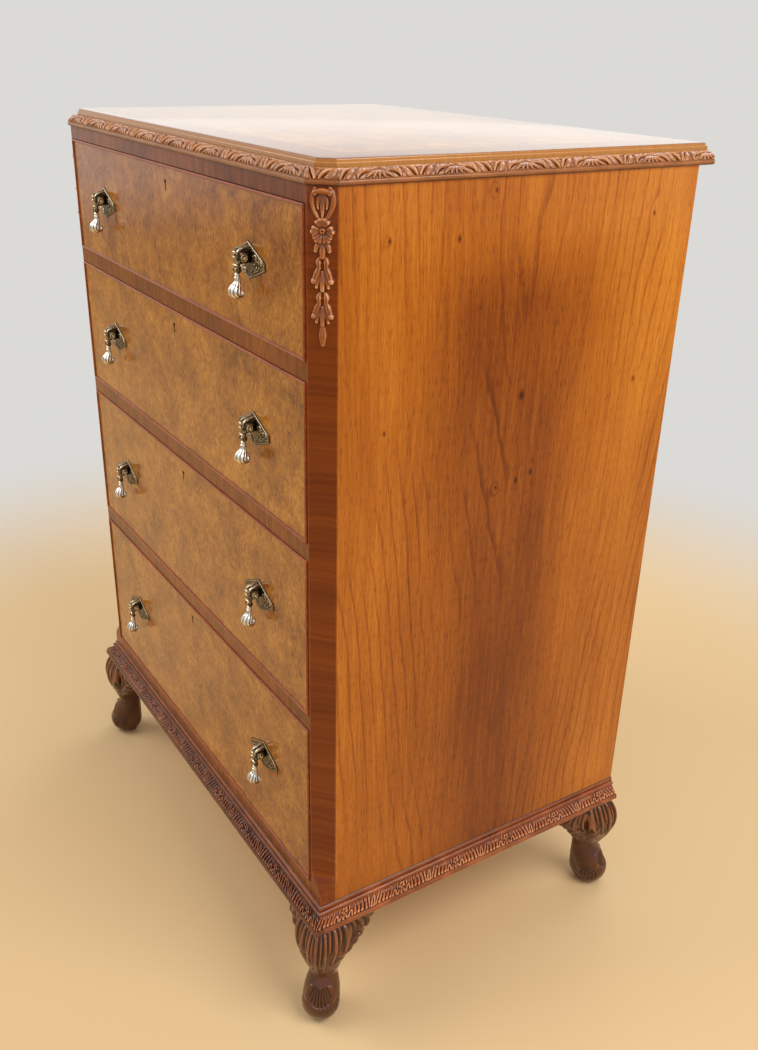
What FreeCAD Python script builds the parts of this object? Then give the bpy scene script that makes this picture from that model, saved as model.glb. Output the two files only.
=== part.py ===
import FreeCAD, Part
import math
import os

# Bachelors chest in walnut: four graduated drawers in a canted carcass, a carved top moulding,
# a carved base moulding and four cabriole legs with scroll feet.
# Millimetres. +Z is up and the front faces -Y. The origin is on the floor, below the middle of
# the bounding box, whose front is the drop handles and whose back is the back feet or the top.

V = FreeCAD.Vector

# ---------------------------------------------------------------- driving dimensions

# carcass
carcass_width = 760.0
carcass_depth = 511.5
side_thickness = 19.0
back_thickness = 6.0
back_rebate = 8.0               # how far the back panel reaches into each side panel
back_rail_depth = 50.0
bottom_board_thickness = 12.0

# front corner posts
post_face_width = 26.2          # from the carcass side to the drawer opening
post_depth = 60.0
cant_leg = 22.5                 # each way along front and side
tongue_tip = 13.0               # height of the lamb's tongue's point above the base
tongue_length = 39.0
tongue_bow = 0.14               # depth, as a share of the cant's, a quarter of the way up its S

# rails between the posts
bottom_rail_height = 21.7
divider_height = 20.5
top_rail_height = 16.8

# drawers, from the top one down
drawer_heights = [156.0, 185.0, 208.0, 239.0]
drawer_side_gap = 0.8
drawer_top_gap = 0.7
running_gap = 0.3               # between a drawer and the runners it rides on
drawer_back_gap = 12.0          # between a closed drawer and the back panel
front_thickness = 22.0
bead_width = 3.2
bead_depth = 8.0                # how deep the cockbead is let into the drawer front
bead_stand = 2.2                # how far it stands proud
drawer_side_thickness = 12.0
drawer_back_thickness = 10.0
drawer_back_drop = 12.0         # the back is this much lower than the sides
drawer_side_drop = 4.0          # the sides are this much lower than the front
drawer_bottom_thickness = 6.0
groove_height = 10.0            # drawer bottom above the lower edge of the sides
groove_depth = 5.0
tail_length = 10.0              # dovetails
tail_pitch = 46.0
tail_root = 24.0
tail_flare = 3.5
tail_margin = 2.0               # between the outer tails' pitch and the side's edges
least_pin = 4.0                 # between two tails at their tips

# runners, guides, kickers and stops
runner_thickness = 18.0
runner_overlap = 6.0            # runner beyond the drawer side's inner face
guide_height = 16.0
stop_width = 30.0
stop_depth = 20.0
stop_height = 5.0
stop_inset = 110.0              # from the drawer's side to the stop

# top
top_thickness = 23.5
top_inset = 11.0                # edge of the top board inside the carcass faces
top_back_overhang = 22.0
top_edge_radius = 4.0
top_moulding_height = 15.5
top_moulding_reach = 3.4        # beyond the carcass faces
top_moulding_fillet = 5.0       # height of its plain lower edge
top_moulding_batter = 1.4       # how far that edge leans in at its foot

# base
leg_height = 160.0              # from the floor to the frame
base_height = 33.0              # frame and base moulding
base_reach = 17.2               # moulding beyond the carcass faces
base_reed_height = 6.0
base_reed_reach = 2.6
base_bead_height = 5.2
base_bead_reach = 6.2
base_groove = 1.0               # depth of the grooves below reed and bead
base_cove_back = 2.2            # cove's deepest point, outside of the bead
base_cove_sag = 1.5             # and below the middle of the cove's height
base_nose_height = 10.0
base_nose_round = 1.6
frame_rail_width = 58.0

# cabriole legs: each section is a square with rounded corners, roundness 1 making it a circle;
# its middle is measured outwards from the carcass faces
leg_block_middle = -9.2
leg_block_side = 60.0
leg_block_roundness = 0.25
collar_drop = 13.0              # where the square block turns into the knee
collar_middle = -7.6
collar_side = 59.0
collar_roundness = 0.3
knee_drop = 30.0                # knee below the frame
knee_middle = -5.8
knee_side = 58.0
knee_roundness = 0.35
calf_share = 0.7                # of the way up from ankle to knee
calf_middle = -5.3
calf_side = 54.0
calf_roundness = 0.5
shin_share = 0.37
shin_middle = -6.3
shin_side = 46.0
shin_roundness = 0.7
ankle_height = 65.0
ankle_middle = -13.0
ankle_side = 39.0
heel_height = 40.0
heel_middle = -13.8
heel_side = 38.0
sole_height = 18.0
sole_middle = -12.0
sole_side = 32.0
toe_middle = -8.0               # where the shank's section meets the floor, inside the foot
toe_side = 19.5
ankle_roundness = 0.93          # from the ankle down
foot_radius = 26.0
foot_width = 46.0               # across the volutes at the ends of the scroll
foot_set = -1.1                 # foot's middle, outwards from the carcass faces
foot_flat = 0.6                 # how much of the round foot is flattened on the floor
back_leg_inset = 17.0           # the back legs stand this much further in, clear of a wall
dowel_inset = 22.0              # from both carcass faces to the dowel's middle
dowel_radius = 10.0
dowel_length = 24.0
ear_length = 82.0               # from the carcass corner along each side
ear_root = -15.2                # where the ear meets the knee
ear_outer = 12.0                # ear's face, outwards from the carcass faces
ear_inner = -14.0
ear_tip_height = 9.0
ear_scroll_length = 28.0        # the scroll at the ear's tip, then the lobe beside the knee
ear_scroll_drop = 46.0
ear_scroll_bow = 7.0            # how far its edge stands off a straight line
ear_lobe_bow = 6.0
ear_drop = 66.0

# applied carving on the cants
carving_width = 22.0
carving_thickness = 6.0
loop_height = 30.0
loop_neck = 12.0                # width of the ribbon loop at its ends
rosette_radius = 11.2
rosette_drop = 41.0             # rosette's middle below the top moulding
stem_width = 7.0
husk_drops = [75.0, 91.0, 108.0, 126.0]
husk_height = 20.0
husk_foot_width = 13.3          # across the two lobes at a husk's foot
husk_lobe_height = 4.0          # lobes above the husk's foot
husk_shoulder = 17.0            # width a little above its middle
husk_shoulder_rise = 2.0
tip_drop = 154.0

# handles
handle_spacing = 458.0
handle_rise = 3.2               # handle's middle above the drawer's middle
plate_width = 77.0
plate_height = 41.0
plate_thickness = 2.5
plate_end_top = 2.5             # the plate's blunt ends run from here ...
plate_end_bottom = -6.5         # ... to here, from its middle
boss_width = 17.0
boss_reach = 20.0
boss_top = 13.0
boss_crown = 1.5                # how far the boss's upper curve rises above its top
boss_crown_reach = 12.0
boss_nose_height = 6.0          # boss's furthest point above the handle's middle
boss_lip = 1.0                  # chamfer under that point
cheek_gap = 4.6
cheek_thickness = 2.6
cheek_radius = 3.4
cheek_neck = 2.0                # cheek between its round end and the boss
pivot_drop = 9.0                # hinge pin below the handle's middle
pivot_reach = 15.0              # hinge pin in front of the drawer's face
pin_radius = 1.2
pin_clearance = 0.06
eye_thickness = 4.0
eye_radius = 2.9
neck_width = 7.4
neck_top = 4.0                  # neck's upper end below the hinge pin
neck_length = 12.0
neck_taper = 1.0
shell_throat = 0.6              # how much narrower the shell's back is than the neck's
shell_rise = 2.0                # shell's inner curve starts this far above the volute's middle
drop_width = 21.0
drop_length = 31.6              # from the hinge pin to the lowest point
drop_reach = 28.0               # drop's furthest point in front of the drawer's face
drop_reach_height = 10.0        # that point above the lowest one
drop_back = 6.7                 # drop's nearest point to the drawer's face
lip_start = 8.0                 # lip's lowest point behind the furthest one
lip_round = 2.2
lip_height = 3.4                # bow of the lip, and the volute above the lowest point
shell_crest = 3.0               # shell's crest at the neck, behind the furthest point
shell_crest_drop = 2.0
fan_shoulder = 9.0              # half the fan's width where it starts to widen
fan_shoulder_height = 16.0
fan_widest_height = 8.0
fan_bow = 4.0                   # how far the fan's edge dips below the lowest point
volute_radius = 4.0
volute_sag = 1.6
handle_bolt_radius = 2.5
handle_bolt_end = 7.0           # how far the bolt shows inside the drawer
nut_radius = 5.5
nut_thickness = 4.0
hole_clearance = 0.2

# locks
keyhole_drop = 24.0             # keyhole's middle below the drawer's top edge
keyhole_height = 13.4
keyhole_radius = 2.5
keyhole_slot = 2.4
lining_wall = 0.9
lining_depth = 6.0
lock_width = 58.0
lock_height = 36.0
lock_depth = 9.0
selvedge_thickness = 2.0
selvedge_depth = 12.0
bolt_width = 24.0
bolt_thickness = 4.4
bolt_height = 14.0
bolt_travel = 6.0
bolt_clearance = 0.3
mortise_clearance = 1.0

# screws
screw_radius = 2.0
screw_head_radius = 4.2
screw_head_height = 3.0
screw_bite = 12.0               # how far the screws reach into what they hold
top_screw_row = 43.0            # front row of the top's screws behind the carcass front
top_screw_inset = 71.0          # outer ones from the sides of the drawer opening
panel_screw_length = 18.0
panel_screw_inset = 36.0        # outer ones from the side panels

# ---------------------------------------------------------------- places worked out from them

half_width = carcass_width / 2
back_reach = max(top_back_overhang, foot_set + foot_radius - back_leg_inset)
front_y = -(carcass_depth + back_reach - drop_reach) / 2
back_y = front_y + carcass_depth
base_z = leg_height + base_height
drawer_count = len(drawer_heights)
carcass_height = (bottom_rail_height + (drawer_count - 1) * divider_height + top_rail_height
                  + sum(drawer_heights) + drawer_count * (running_gap + drawer_top_gap))
carcass_top = base_z + carcass_height
slant = math.sqrt(0.5)          # cosine of the cants' and the legs' 45 degrees
opening_half = half_width - post_face_width
drawer_half = opening_half - drawer_side_gap
side_inner = half_width - side_thickness
panel_face = back_y - back_thickness
drawer_length = carcass_depth - back_thickness - drawer_back_gap


def drawer_floor(index):
    """Height of the runners that carry drawer index, counted from the top drawer down."""
    level = base_z + bottom_rail_height
    for height in drawer_heights[index + 1:]:
        level += running_gap + height + drawer_top_gap + divider_height
    return level


def drawer_bottom(index):
    return drawer_floor(index) + running_gap


def drawer_top(index):
    return drawer_bottom(index) + drawer_heights[index]


# ---------------------------------------------------------------- helpers

def block(x_range, y_range, z_range):
    size = [high - low for low, high in (x_range, y_range, z_range)]
    return Part.makeBox(*size, V(x_range[0], y_range[0], z_range[0]))


def outline(steps, place):
    """A closed wire. A step of two numbers is a point; four numbers are an arc's middle and end."""
    edges = []
    start = last = place(*steps[0])
    for step in steps[1:] + [steps[0]]:
        end = place(*step[-2:])
        if len(step) == 4:
            edges.append(Part.Arc(last, place(*step[:2]), end).toShape())
        elif end.distanceToPoint(last) > 1e-6:
            edges.append(Part.LineSegment(last, end).toShape())
        last = end
    if last.distanceToPoint(start) > 1e-6:
        edges.append(Part.LineSegment(last, start).toShape())
    return Part.Wire(edges)


def prism(steps, place, direction):
    return Part.Face(outline(steps, place)).extrude(direction)


def plan(steps, low, high):
    """A prism with a horizontal outline, from height low to height high."""
    return prism(steps, lambda x, y: V(x, y, low), V(0, 0, high - low))


def side_view(steps, x_low, x_high):
    """A prism whose outline is drawn in (y, z), from x_low to x_high."""
    return prism(steps, lambda y, z: V(x_low, y, z), V(x_high - x_low, 0, 0))


def front_view(steps, y_low, y_high):
    """A prism whose outline is drawn in (x, z), from y_low to y_high."""
    return prism(steps, lambda x, z: V(x, y_low, z), V(0, y_high - y_low, 0))


def rod(radius, start, direction, length):
    return Part.makeCylinder(radius, length, start, direction)


def mirrored(shape):
    """The shape on the other side of the chest."""
    return shape.mirror(V(0, 0, 0), V(1, 0, 0))


def moved(shape, x, y, z):
    copy = shape.copy()
    copy.translate(V(x, y, z))
    return copy


def write(node, *shapes):
    """Each sub-part is one STEP file with one or more separate solids."""
    solids = [solid for shape in shapes for solid in shape.Solids]
    body = solids[0] if len(solids) == 1 else Part.makeCompound(solids)
    body.exportStep(os.path.join("parts", node + ".step"))


# ---------------------------------------------------------------- mitred mouldings

def outward(a, b):
    """Unit normal on the outer side of the run from a to b."""
    length = math.hypot(b[0] - a[0], b[1] - a[1])
    return (b[1] - a[1]) / length, (a[0] - b[0]) / length


def offset_path(path, distance):
    """The open path moved outwards, with its corners mitred and its ends square."""
    normals = [outward(a, b) for a, b in zip(path, path[1:])]
    moved_path = []
    for index, (x, y) in enumerate(path):
        first = normals[max(index - 1, 0)]
        second = normals[min(index, len(normals) - 1)]
        share = distance / (1 + first[0] * second[0] + first[1] * second[1])
        moved_path.append((x + share * (first[0] + second[0]), y + share * (first[1] + second[1])))
    return moved_path


def mitred_runs(path, profile, inner, outer, level):
    """One solid for each run of the path. The profile is drawn in (outwards, up) from level."""
    inside, outside = offset_path(path, inner - 1), offset_path(path, outer + 1)
    runs = []
    for index, (a, b) in enumerate(zip(path, path[1:])):
        nx, ny = outward(a, b)
        along = V(b[0] - a[0], b[1] - a[1], 0)
        spare = along * (2 * (outer + abs(inner)) / along.Length)

        def place(out, up):
            return V(a[0] + nx * out, a[1] + ny * out, level + up) - spare

        run = prism(profile, place, along + spare * 2)
        corners = [inside[index], inside[index + 1], outside[index + 1], outside[index]]
        wedge = plan(corners, level - 2 * base_height, level + 2 * base_height)
        runs.append(run.common(wedge))
    return runs


def canted_outline(back):
    """The carcass's plan, from the back left round the front to the back right."""
    return [(-half_width, back), (-half_width, front_y + cant_leg),
            (cant_leg - half_width, front_y), (half_width - cant_leg, front_y),
            (half_width, front_y + cant_leg), (half_width, back)]


# ---------------------------------------------------------------- carcass

def cant_cutter():
    """What the cant takes off the right post, with an S-curved run-out at its foot."""
    depth = cant_leg * slant
    tip, full = base_z + tongue_tip, base_z + tongue_tip + tongue_length
    middle = (tip + full) / 2
    quarter = tongue_length / 4
    bow = tongue_bow * depth
    steps = [(0, tip), (bow, tip + quarter, depth / 2, middle),
             (depth - bow, full - quarter, depth, full), (depth, carcass_top + 1),
             (-depth, carcass_top + 1), (-depth, tip)]
    corner = V(half_width, front_y, 0)

    def place(inwards, height):
        share = inwards * slant
        return corner + V(-share - cant_leg, share - cant_leg, height)

    return prism(steps, place, V(2 * cant_leg, 2 * cant_leg, 0))


def corner_post():
    xi = opening_half
    section = [(xi, front_y), (half_width, front_y), (half_width, front_y + cant_leg),
               (side_inner, front_y + cant_leg), (side_inner, front_y + post_depth),
               (xi, front_y + post_depth)]
    return plan(section, base_z, carcass_top).cut(cant_cutter())


def side_panel():
    panel = block((side_inner, half_width), (front_y + cant_leg, back_y), (base_z, carcass_top))
    rebate = block((side_inner - 1, side_inner + back_rebate), (panel_face, back_y + 1),
                   (base_z - 1, carcass_top + 1))
    return panel.cut(rebate)


def back_panel():
    reach = side_inner + back_rebate
    panel = block((-reach, reach), (panel_face, back_y), (base_z, carcass_top))
    return panel.cut(Part.makeCompound(panel_screws()))


def front_rails():
    """Bottom rail, three dividers and top rail, each with a mortise for the bolt below it."""
    rails = []
    levels = [(base_z, base_z + bottom_rail_height)]
    for index in reversed(range(drawer_count)):
        under = drawer_top(index) + drawer_top_gap
        levels.append((under, under + (divider_height if index else top_rail_height)))
    for count, (low, high) in enumerate(levels):
        rail = block((-opening_half, opening_half), (front_y, front_y + post_depth), (low, high))
        if count:
            half = bolt_width / 2 + mortise_clearance
            middle = bolt_middle_y()
            depth = bolt_thickness / 2 + mortise_clearance
            rail = rail.cut(block((-half, half), (middle - depth, middle + depth),
                                  (low - 1, low + bolt_travel - drawer_top_gap + mortise_clearance)))
        rails.append(rail)
    rails[-1] = rails[-1].cut(Part.makeCompound(top_screws()))
    return rails


def back_rail():
    rail = block((-side_inner, side_inner), (panel_face - back_rail_depth, panel_face),
                 (carcass_top - top_rail_height, carcass_top))
    return rail.cut(Part.makeCompound(top_screws() + panel_screws()))


def bottom_board():
    board = block((-side_inner, side_inner), (front_y + post_depth, panel_face),
                  (base_z, base_z + bottom_board_thickness))
    return board.cut(Part.makeCompound(panel_screws()))


def drawer_runners():
    """For each drawer a runner and a guide on either side, and kickers above the top drawer."""
    solids = []
    inner = drawer_half - drawer_side_thickness - runner_overlap
    along = (front_y + post_depth, panel_face)
    for index in range(drawer_count):
        top = drawer_floor(index)
        low = max(top - runner_thickness, base_z + bottom_board_thickness)
        solids.append(block((inner, side_inner), along, (low, top)))
        solids.append(block((opening_half, side_inner), along, (top, top + guide_height)))
    kicker = (along[0], along[1] - back_rail_depth)
    solids.append(block((inner, side_inner), kicker, (carcass_top - top_rail_height, carcass_top)))
    return solids + [mirrored(solid) for solid in solids]


def drawer_stops():
    """Two blocks on each rail, just behind the closed drawer front."""
    y_low = front_y + front_thickness + running_gap
    solids = []
    for index in range(drawer_count):
        outer = drawer_half - stop_inset
        floor = drawer_floor(index)
        solids.append(block((outer - stop_width, outer), (y_low, y_low + stop_depth),
                            (floor, floor + stop_height)))
    return solids + [mirrored(solid) for solid in solids]


# ---------------------------------------------------------------- screws

def screw(head, direction, length):
    """A countersunk screw. Head is the middle of the flat of its head."""
    cone = Part.makeCone(screw_head_radius, screw_radius, screw_head_height, head, direction)
    return cone.fuse(rod(screw_radius, head, direction, length)).removeSplitter()


def top_screws():
    """Up through the top rail and the back rail into the top board."""
    up = V(0, 0, 1)
    length = top_rail_height + screw_bite
    level = carcass_top - top_rail_height
    rows = (front_y + top_screw_row, panel_face - back_rail_depth / 2)
    outer = opening_half - top_screw_inset
    return [screw(V(x, y, level), up, length) for y in rows for x in (-outer, 0, outer)]


def panel_screws():
    """Through the back panel into the back rail and the bottom board."""
    forward = V(0, -1, 0)
    levels = (carcass_top - top_rail_height / 2, base_z + bottom_board_thickness / 2)
    outer = side_inner - panel_screw_inset
    return [screw(V(x, back_y, z), forward, panel_screw_length)
            for z in levels for x in (-outer, -outer / 3, outer / 3, outer)]


# ---------------------------------------------------------------- top

def top_board():
    path = offset_path(canted_outline(back_y + top_back_overhang), -top_inset)
    board = plan(path, carcass_top, carcass_top + top_thickness)
    surface = carcass_top + top_thickness
    rim = [edge for edge in board.Edges
           if all(abs(vertex.Z - surface) < 1e-6 for vertex in edge.Vertexes)
           and min(vertex.Y for vertex in edge.Vertexes) < back_y]
    board = board.makeFillet(top_edge_radius, rim)
    return board.cut(Part.makeCompound(top_screws()))


def top_moulding():
    span = top_moulding_reach + top_inset
    rise = top_moulding_height - top_moulding_fillet
    crown = (top_moulding_reach - span * (1 - slant), top_moulding_fillet + rise * slant)
    profile = [(-top_inset, 0), (top_moulding_reach - top_moulding_batter, 0),
               (top_moulding_reach, top_moulding_fillet),
               crown + (-top_inset, top_moulding_height)]
    path = canted_outline(back_y + top_back_overhang)
    return mitred_runs(path, profile, -top_inset, top_moulding_reach, carcass_top)


# ---------------------------------------------------------------- base

def base_corners():
    """The square corners of the base in plan, outside of the frame and carcass."""
    return [(-half_width, back_y), (-half_width, front_y),
            (half_width, front_y), (half_width, back_y)]


def base_moulding():
    """Two reeds, a cove and a rounded nose, hung below the carcass's lower edge."""
    reed, bead = -base_reed_height, -base_reed_height - base_bead_height
    nose = base_nose_height - base_height
    cove_out = base_reach - base_nose_round
    profile = [(0, 0), (base_reed_reach, reed / 2, base_reed_reach - base_groove, reed),
               (base_bead_reach, (reed + bead) / 2, base_bead_reach - base_groove, bead),
               (base_bead_reach + base_cove_back, (bead + nose) / 2 - base_cove_sag, cove_out, nose),
               (base_reach, (nose - base_height) / 2 + base_nose_round,
                cove_out - base_nose_round, -base_height),
               (0, -base_height)]
    return mitred_runs(base_corners(), profile, 0, base_reach, base_z)


def base_frame():
    """Four rails under the carcass: the front and back rails run between the side rails."""
    levels = (leg_height, base_z)
    inner = half_width - frame_rail_width
    side = block((inner, half_width), (front_y, back_y), levels)
    rails = [side, mirrored(side),
             block((-inner, inner), (front_y, front_y + frame_rail_width), levels),
             block((-inner, inner), (back_y - frame_rail_width, back_y), levels)]
    dowels = Part.makeCompound([at_corner(leg_dowel(), x, y) for x in (-1, 1) for y in (-1, 1)])
    return [rail.cut(dowels) for rail in rails]


# ---------------------------------------------------------------- legs
# A leg is drawn for the back right corner, with that corner of the carcass at x = y = 0, so that
# outwards is +x and +y. Its section is a square with rounded corners that follows the diagonal.

def at_corner(shape, x_sign, y_sign):
    """Moves a leg's shape from the drawn corner to one of the chest's four corners."""
    if x_sign < 0:
        shape = shape.mirror(V(0, 0, 0), V(1, 0, 0))
    if y_sign < 0:
        shape = shape.mirror(V(0, 0, 0), V(0, 1, 0))
    y = back_y - back_leg_inset if y_sign > 0 else front_y
    return moved(shape, x_sign * half_width, y, 0)


def rounded_square(height, middle, side, roundness):
    """A wire of four lines and four arcs. Roundness 1 would be a circle."""
    half = side / 2
    radius = roundness * half
    flat = half - radius
    bulge = flat + radius * slant
    steps = []
    for x, y in ((1, 1), (-1, 1), (-1, -1), (1, -1)):
        start, end = (half * x, flat * y), (flat * x, half * y)
        if x * y < 0:
            start, end = end, start
        steps.append(start)
        steps.append((bulge * x, bulge * y) + end)
    return outline(steps, lambda x, y: V(middle + x, middle + y, height))


def leg_dowel():
    return rod(dowel_radius, V(-dowel_inset, -dowel_inset, leg_height), V(0, 0, 1), dowel_length)


def leg_shaft():
    """The S-shaped shank, from the square block under the frame down to the heel."""
    knee_height = leg_height - knee_drop
    rise = knee_height - ankle_height
    sections = [
        (leg_height, leg_block_middle, leg_block_side, leg_block_roundness),
        (leg_height - collar_drop, collar_middle, collar_side, collar_roundness),
        (knee_height, knee_middle, knee_side, knee_roundness),
        (ankle_height + calf_share * rise, calf_middle, calf_side, calf_roundness),
        (ankle_height + shin_share * rise, shin_middle, shin_side, shin_roundness),
        (ankle_height, ankle_middle, ankle_side, ankle_roundness),
        (heel_height, heel_middle, heel_side, ankle_roundness),
        (sole_height, sole_middle, sole_side, ankle_roundness),
        (0.0, toe_middle, toe_side, ankle_roundness),
    ]
    return Part.makeLoft([rounded_square(*section) for section in sections], True, False)


def leg_foot():
    """The scroll foot: a ball with a flat volute at each end, across the diagonal."""
    half = foot_width / 2
    end = math.sqrt(foot_radius ** 2 - half ** 2)
    steps = [(-half, 0), (-half, end), (0, foot_radius, half, end), (half, 0)]
    centre = V(foot_set, foot_set, foot_radius - foot_flat)

    def place(across, up):
        return centre + V(across * slant, -across * slant, up)

    axis = V(slant, -slant, 0)
    return Part.Face(outline(steps, place)).revolve(centre, axis, 360)


def knee_ear():
    """The ear that runs along the right side, from the knee towards the front."""
    top, low = leg_height, leg_height - ear_drop
    tip = (-ear_length, top - ear_tip_height)
    notch = (ear_scroll_length - ear_length, top - ear_scroll_drop)
    foot = (ear_root, low)

    def bowed(a, b, bow):
        return (a[0] + b[0] - bow) / 2, (a[1] + b[1] - bow) / 2

    steps = [(ear_root, top), (-ear_length, top), tip, bowed(tip, notch, ear_scroll_bow) + notch,
             bowed(notch, foot, ear_lobe_bow) + foot]
    return side_view(steps, ear_inner, ear_outer)


def swapped(shape):
    """The shape mirrored in the leg's diagonal, so that x and y change places."""
    return shape.mirror(V(0, 0, 0), V(1, -1, 0))


def leg():
    """The leg with its dowel, and its two ears as separate solids glued to the knee."""
    shank = leg_shaft().fuse(leg_foot())
    reach = 2 * foot_radius
    floor = block((-reach, reach), (-reach, reach), (-foot_radius, 0))
    shank = shank.cut(floor).fuse(leg_dowel()).removeSplitter()
    ear = knee_ear().cut(shank)
    other = swapped(knee_ear()).cut(shank).cut(knee_ear())
    return [shank, largest(ear), largest(other)]


def largest(shape):
    return max(shape.Solids, key=lambda solid: solid.Volume)


# ---------------------------------------------------------------- carving on the cants

def cant_place(across, out, height):
    """A point from the middle of the right cant: across to the right, out of its face, and up."""
    middle = V(half_width - cant_leg / 2, front_y + cant_leg / 2, 0)
    return middle + V((across + out) * slant, (across - out) * slant, height)


def corner_carving():
    """Loop, rosette, husks and tip, carved from one strip and glued to the cant."""
    out = cant_place(0, carving_thickness, 0) - cant_place(0, 0, 0)

    def piece(steps):
        return prism(steps, lambda w, z: cant_place(w, 0, carcass_top + z), out)

    half, neck = carving_width / 2, loop_neck / 2
    loop = piece([(-neck, 0), (neck, 0), (half, -loop_height / 2, neck, -loop_height),
                  (-neck, -loop_height), (-half, -loop_height / 2, -neck, 0)])
    centre = cant_place(0, 0, carcass_top - rosette_drop)
    strip = loop.fuse(rod(rosette_radius, centre, out, carving_thickness))
    stem = stem_width / 2
    point = husk_height / 2 - tip_drop
    strip = strip.fuse(piece([(-stem, -loop_height), (stem, -loop_height), (stem, point),
                              (0, -tip_drop), (-stem, point)]))
    shoulder, lobe = husk_shoulder / 2, husk_foot_width / 2
    for drop in husk_drops:
        top, foot = husk_height / 2 - drop, -husk_height / 2 - drop
        widest, lobe_z = husk_shoulder_rise - drop, foot + husk_lobe_height
        strip = strip.fuse(piece([(0, top), (shoulder, widest, lobe, lobe_z), (0, foot),
                                  (-lobe, lobe_z), (-shoulder, widest, 0, top)]))
    return strip.removeSplitter()


# ---------------------------------------------------------------- drawers

def drawer_front_blank(index):
    return block((-drawer_half, drawer_half), (front_y, front_y + front_thickness),
                 (drawer_bottom(index), drawer_top(index)))


def cockbead(index):
    """Four mitred strips round the drawer's face, with a rounded nose."""
    low, high = drawer_bottom(index), drawer_top(index)
    near, far = front_y - bead_stand, front_y + bead_depth
    nose = near + bead_width / 2
    wide, tall = 2 * drawer_half, high - low
    middle = V(0, 0, (low + high) / 2)
    strips = []
    for half, other, turn in ((tall / 2, wide / 2, 0), (wide / 2, tall / 2, 90),
                              (tall / 2, wide / 2, 180), (wide / 2, tall / 2, 270)):
        steps = [(far, -half), (nose, -half), (near, -half + bead_width / 2, nose, bead_width - half),
                 (far, bead_width - half)]
        strip = side_view(steps, -other, other)
        mitre = front_view([(-other, -half), (other, -half), (other - bead_width, bead_width - half),
                            (bead_width - other, bead_width - half)], near - 1, far + 1)
        strip = strip.common(mitre)
        strip.rotate(V(0, 0, 0), V(0, 1, 0), turn)
        strip.translate(middle)
        strips.append(strip)
    return strips


def dovetails(low, high, y_root, y_tip):
    """Tails on the right drawer side, each wider at its tip than at its root."""
    count = max(2, round((high - low) / tail_pitch))
    pitch = (high - low) / count
    root = min(tail_root, pitch - 2 * tail_flare - least_pin) / 2
    tip = root + tail_flare
    x_range = (drawer_half - drawer_side_thickness, drawer_half)
    tails = []
    for number in range(count):
        z = low + (number + 0.5) * pitch
        tails.append(side_view([(y_root, z - root), (y_root, z + root),
                                (y_tip, z + tip), (y_tip, z - tip)], *x_range))
    return tails


def drawer_levels(index):
    """Heights of a drawer's bottom edge, groove, bottom's upper face, back's top, sides' top."""
    edge = drawer_bottom(index)
    groove = edge + groove_height
    sides_top = drawer_top(index) - drawer_side_drop
    return edge, groove, groove + drawer_bottom_thickness, sides_top - drawer_back_drop, sides_top


def side_tails(index):
    edge, groove, upper, back_top, sides_top = drawer_levels(index)
    root = front_y + front_thickness
    end = front_y + drawer_length
    return (dovetails(edge + tail_margin, sides_top - tail_margin, root, root - tail_length),
            dovetails(upper, back_top, end - drawer_back_thickness, end))


def drawer_bottom_board(index):
    edge, groove, upper, back_top, sides_top = drawer_levels(index)
    reach = drawer_half - drawer_side_thickness + groove_depth
    return block((-reach, reach), (front_y + front_thickness - groove_depth, front_y + drawer_length),
                 (groove, upper))


def drawer_side(index):
    edge, groove, upper, back_top, sides_top = drawer_levels(index)
    x_range = (drawer_half - drawer_side_thickness, drawer_half)
    end = front_y + drawer_length
    side = block(x_range, (front_y + front_thickness, end), (edge, sides_top))
    side = side.cut(block((x_range[0] - 1, x_range[1] + 1), (end - drawer_back_thickness, end + 1),
                          (upper, back_top)))
    front_tails, back_tails = side_tails(index)
    for tail in front_tails + back_tails:
        side = side.fuse(tail)
    return side.removeSplitter().cut(drawer_bottom_board(index))


def drawer_back(index):
    edge, groove, upper, back_top, sides_top = drawer_levels(index)
    end = front_y + drawer_length
    back = block((-drawer_half, drawer_half), (end - drawer_back_thickness, end), (upper, back_top))
    tails = side_tails(index)[1]
    return back.cut(Part.makeCompound(tails + [mirrored(tail) for tail in tails]))


def drawer_front(index):
    tails = side_tails(index)[0]
    front = drawer_front_blank(index)
    low, high = drawer_bottom(index), drawer_top(index)
    field = block((bead_width - drawer_half, drawer_half - bead_width),
                  (front_y - 1, front_y + bead_depth), (low + bead_width, high - bead_width))
    rebate = block((-drawer_half, drawer_half), (front_y - 1, front_y + bead_depth), (low, high))
    front = front.cut(rebate.cut(field))
    front = front.cut(Part.makeCompound(tails + [mirrored(tail) for tail in tails]))
    front = front.cut(drawer_bottom_board(index))
    front = front.cut(lock_case_blank(index)).cut(keyhole(index, lining_wall, lining_depth))
    front = front.cut(keyhole(index, 0, front_thickness))
    for x in (-handle_spacing / 2, handle_spacing / 2):
        front = front.cut(rod(handle_bolt_radius + hole_clearance, V(x, front_y, handle_z(index)),
                              V(0, 1, 0), front_thickness))
    return front


# ---------------------------------------------------------------- locks

def bolt_middle_y():
    return front_y + front_thickness - lock_depth / 2


def keyhole(index, wall, depth):
    """A round hole over a slot, grown by wall, from the drawer's face inwards."""
    top = drawer_top(index) - keyhole_drop + keyhole_height / 2
    radius = keyhole_radius + wall
    half = keyhole_slot / 2 + wall
    eye = V(0, front_y, top - keyhole_radius)
    hole = rod(radius, eye, V(0, 1, 0), depth)
    slot = front_view([(-half, top - keyhole_radius), (half, top - keyhole_radius),
                       (half, top - keyhole_height + half),
                       (0, top - keyhole_height - wall, -half, top - keyhole_height + half)],
                      front_y, front_y + depth)
    return hole.fuse(slot).removeSplitter()


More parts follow.
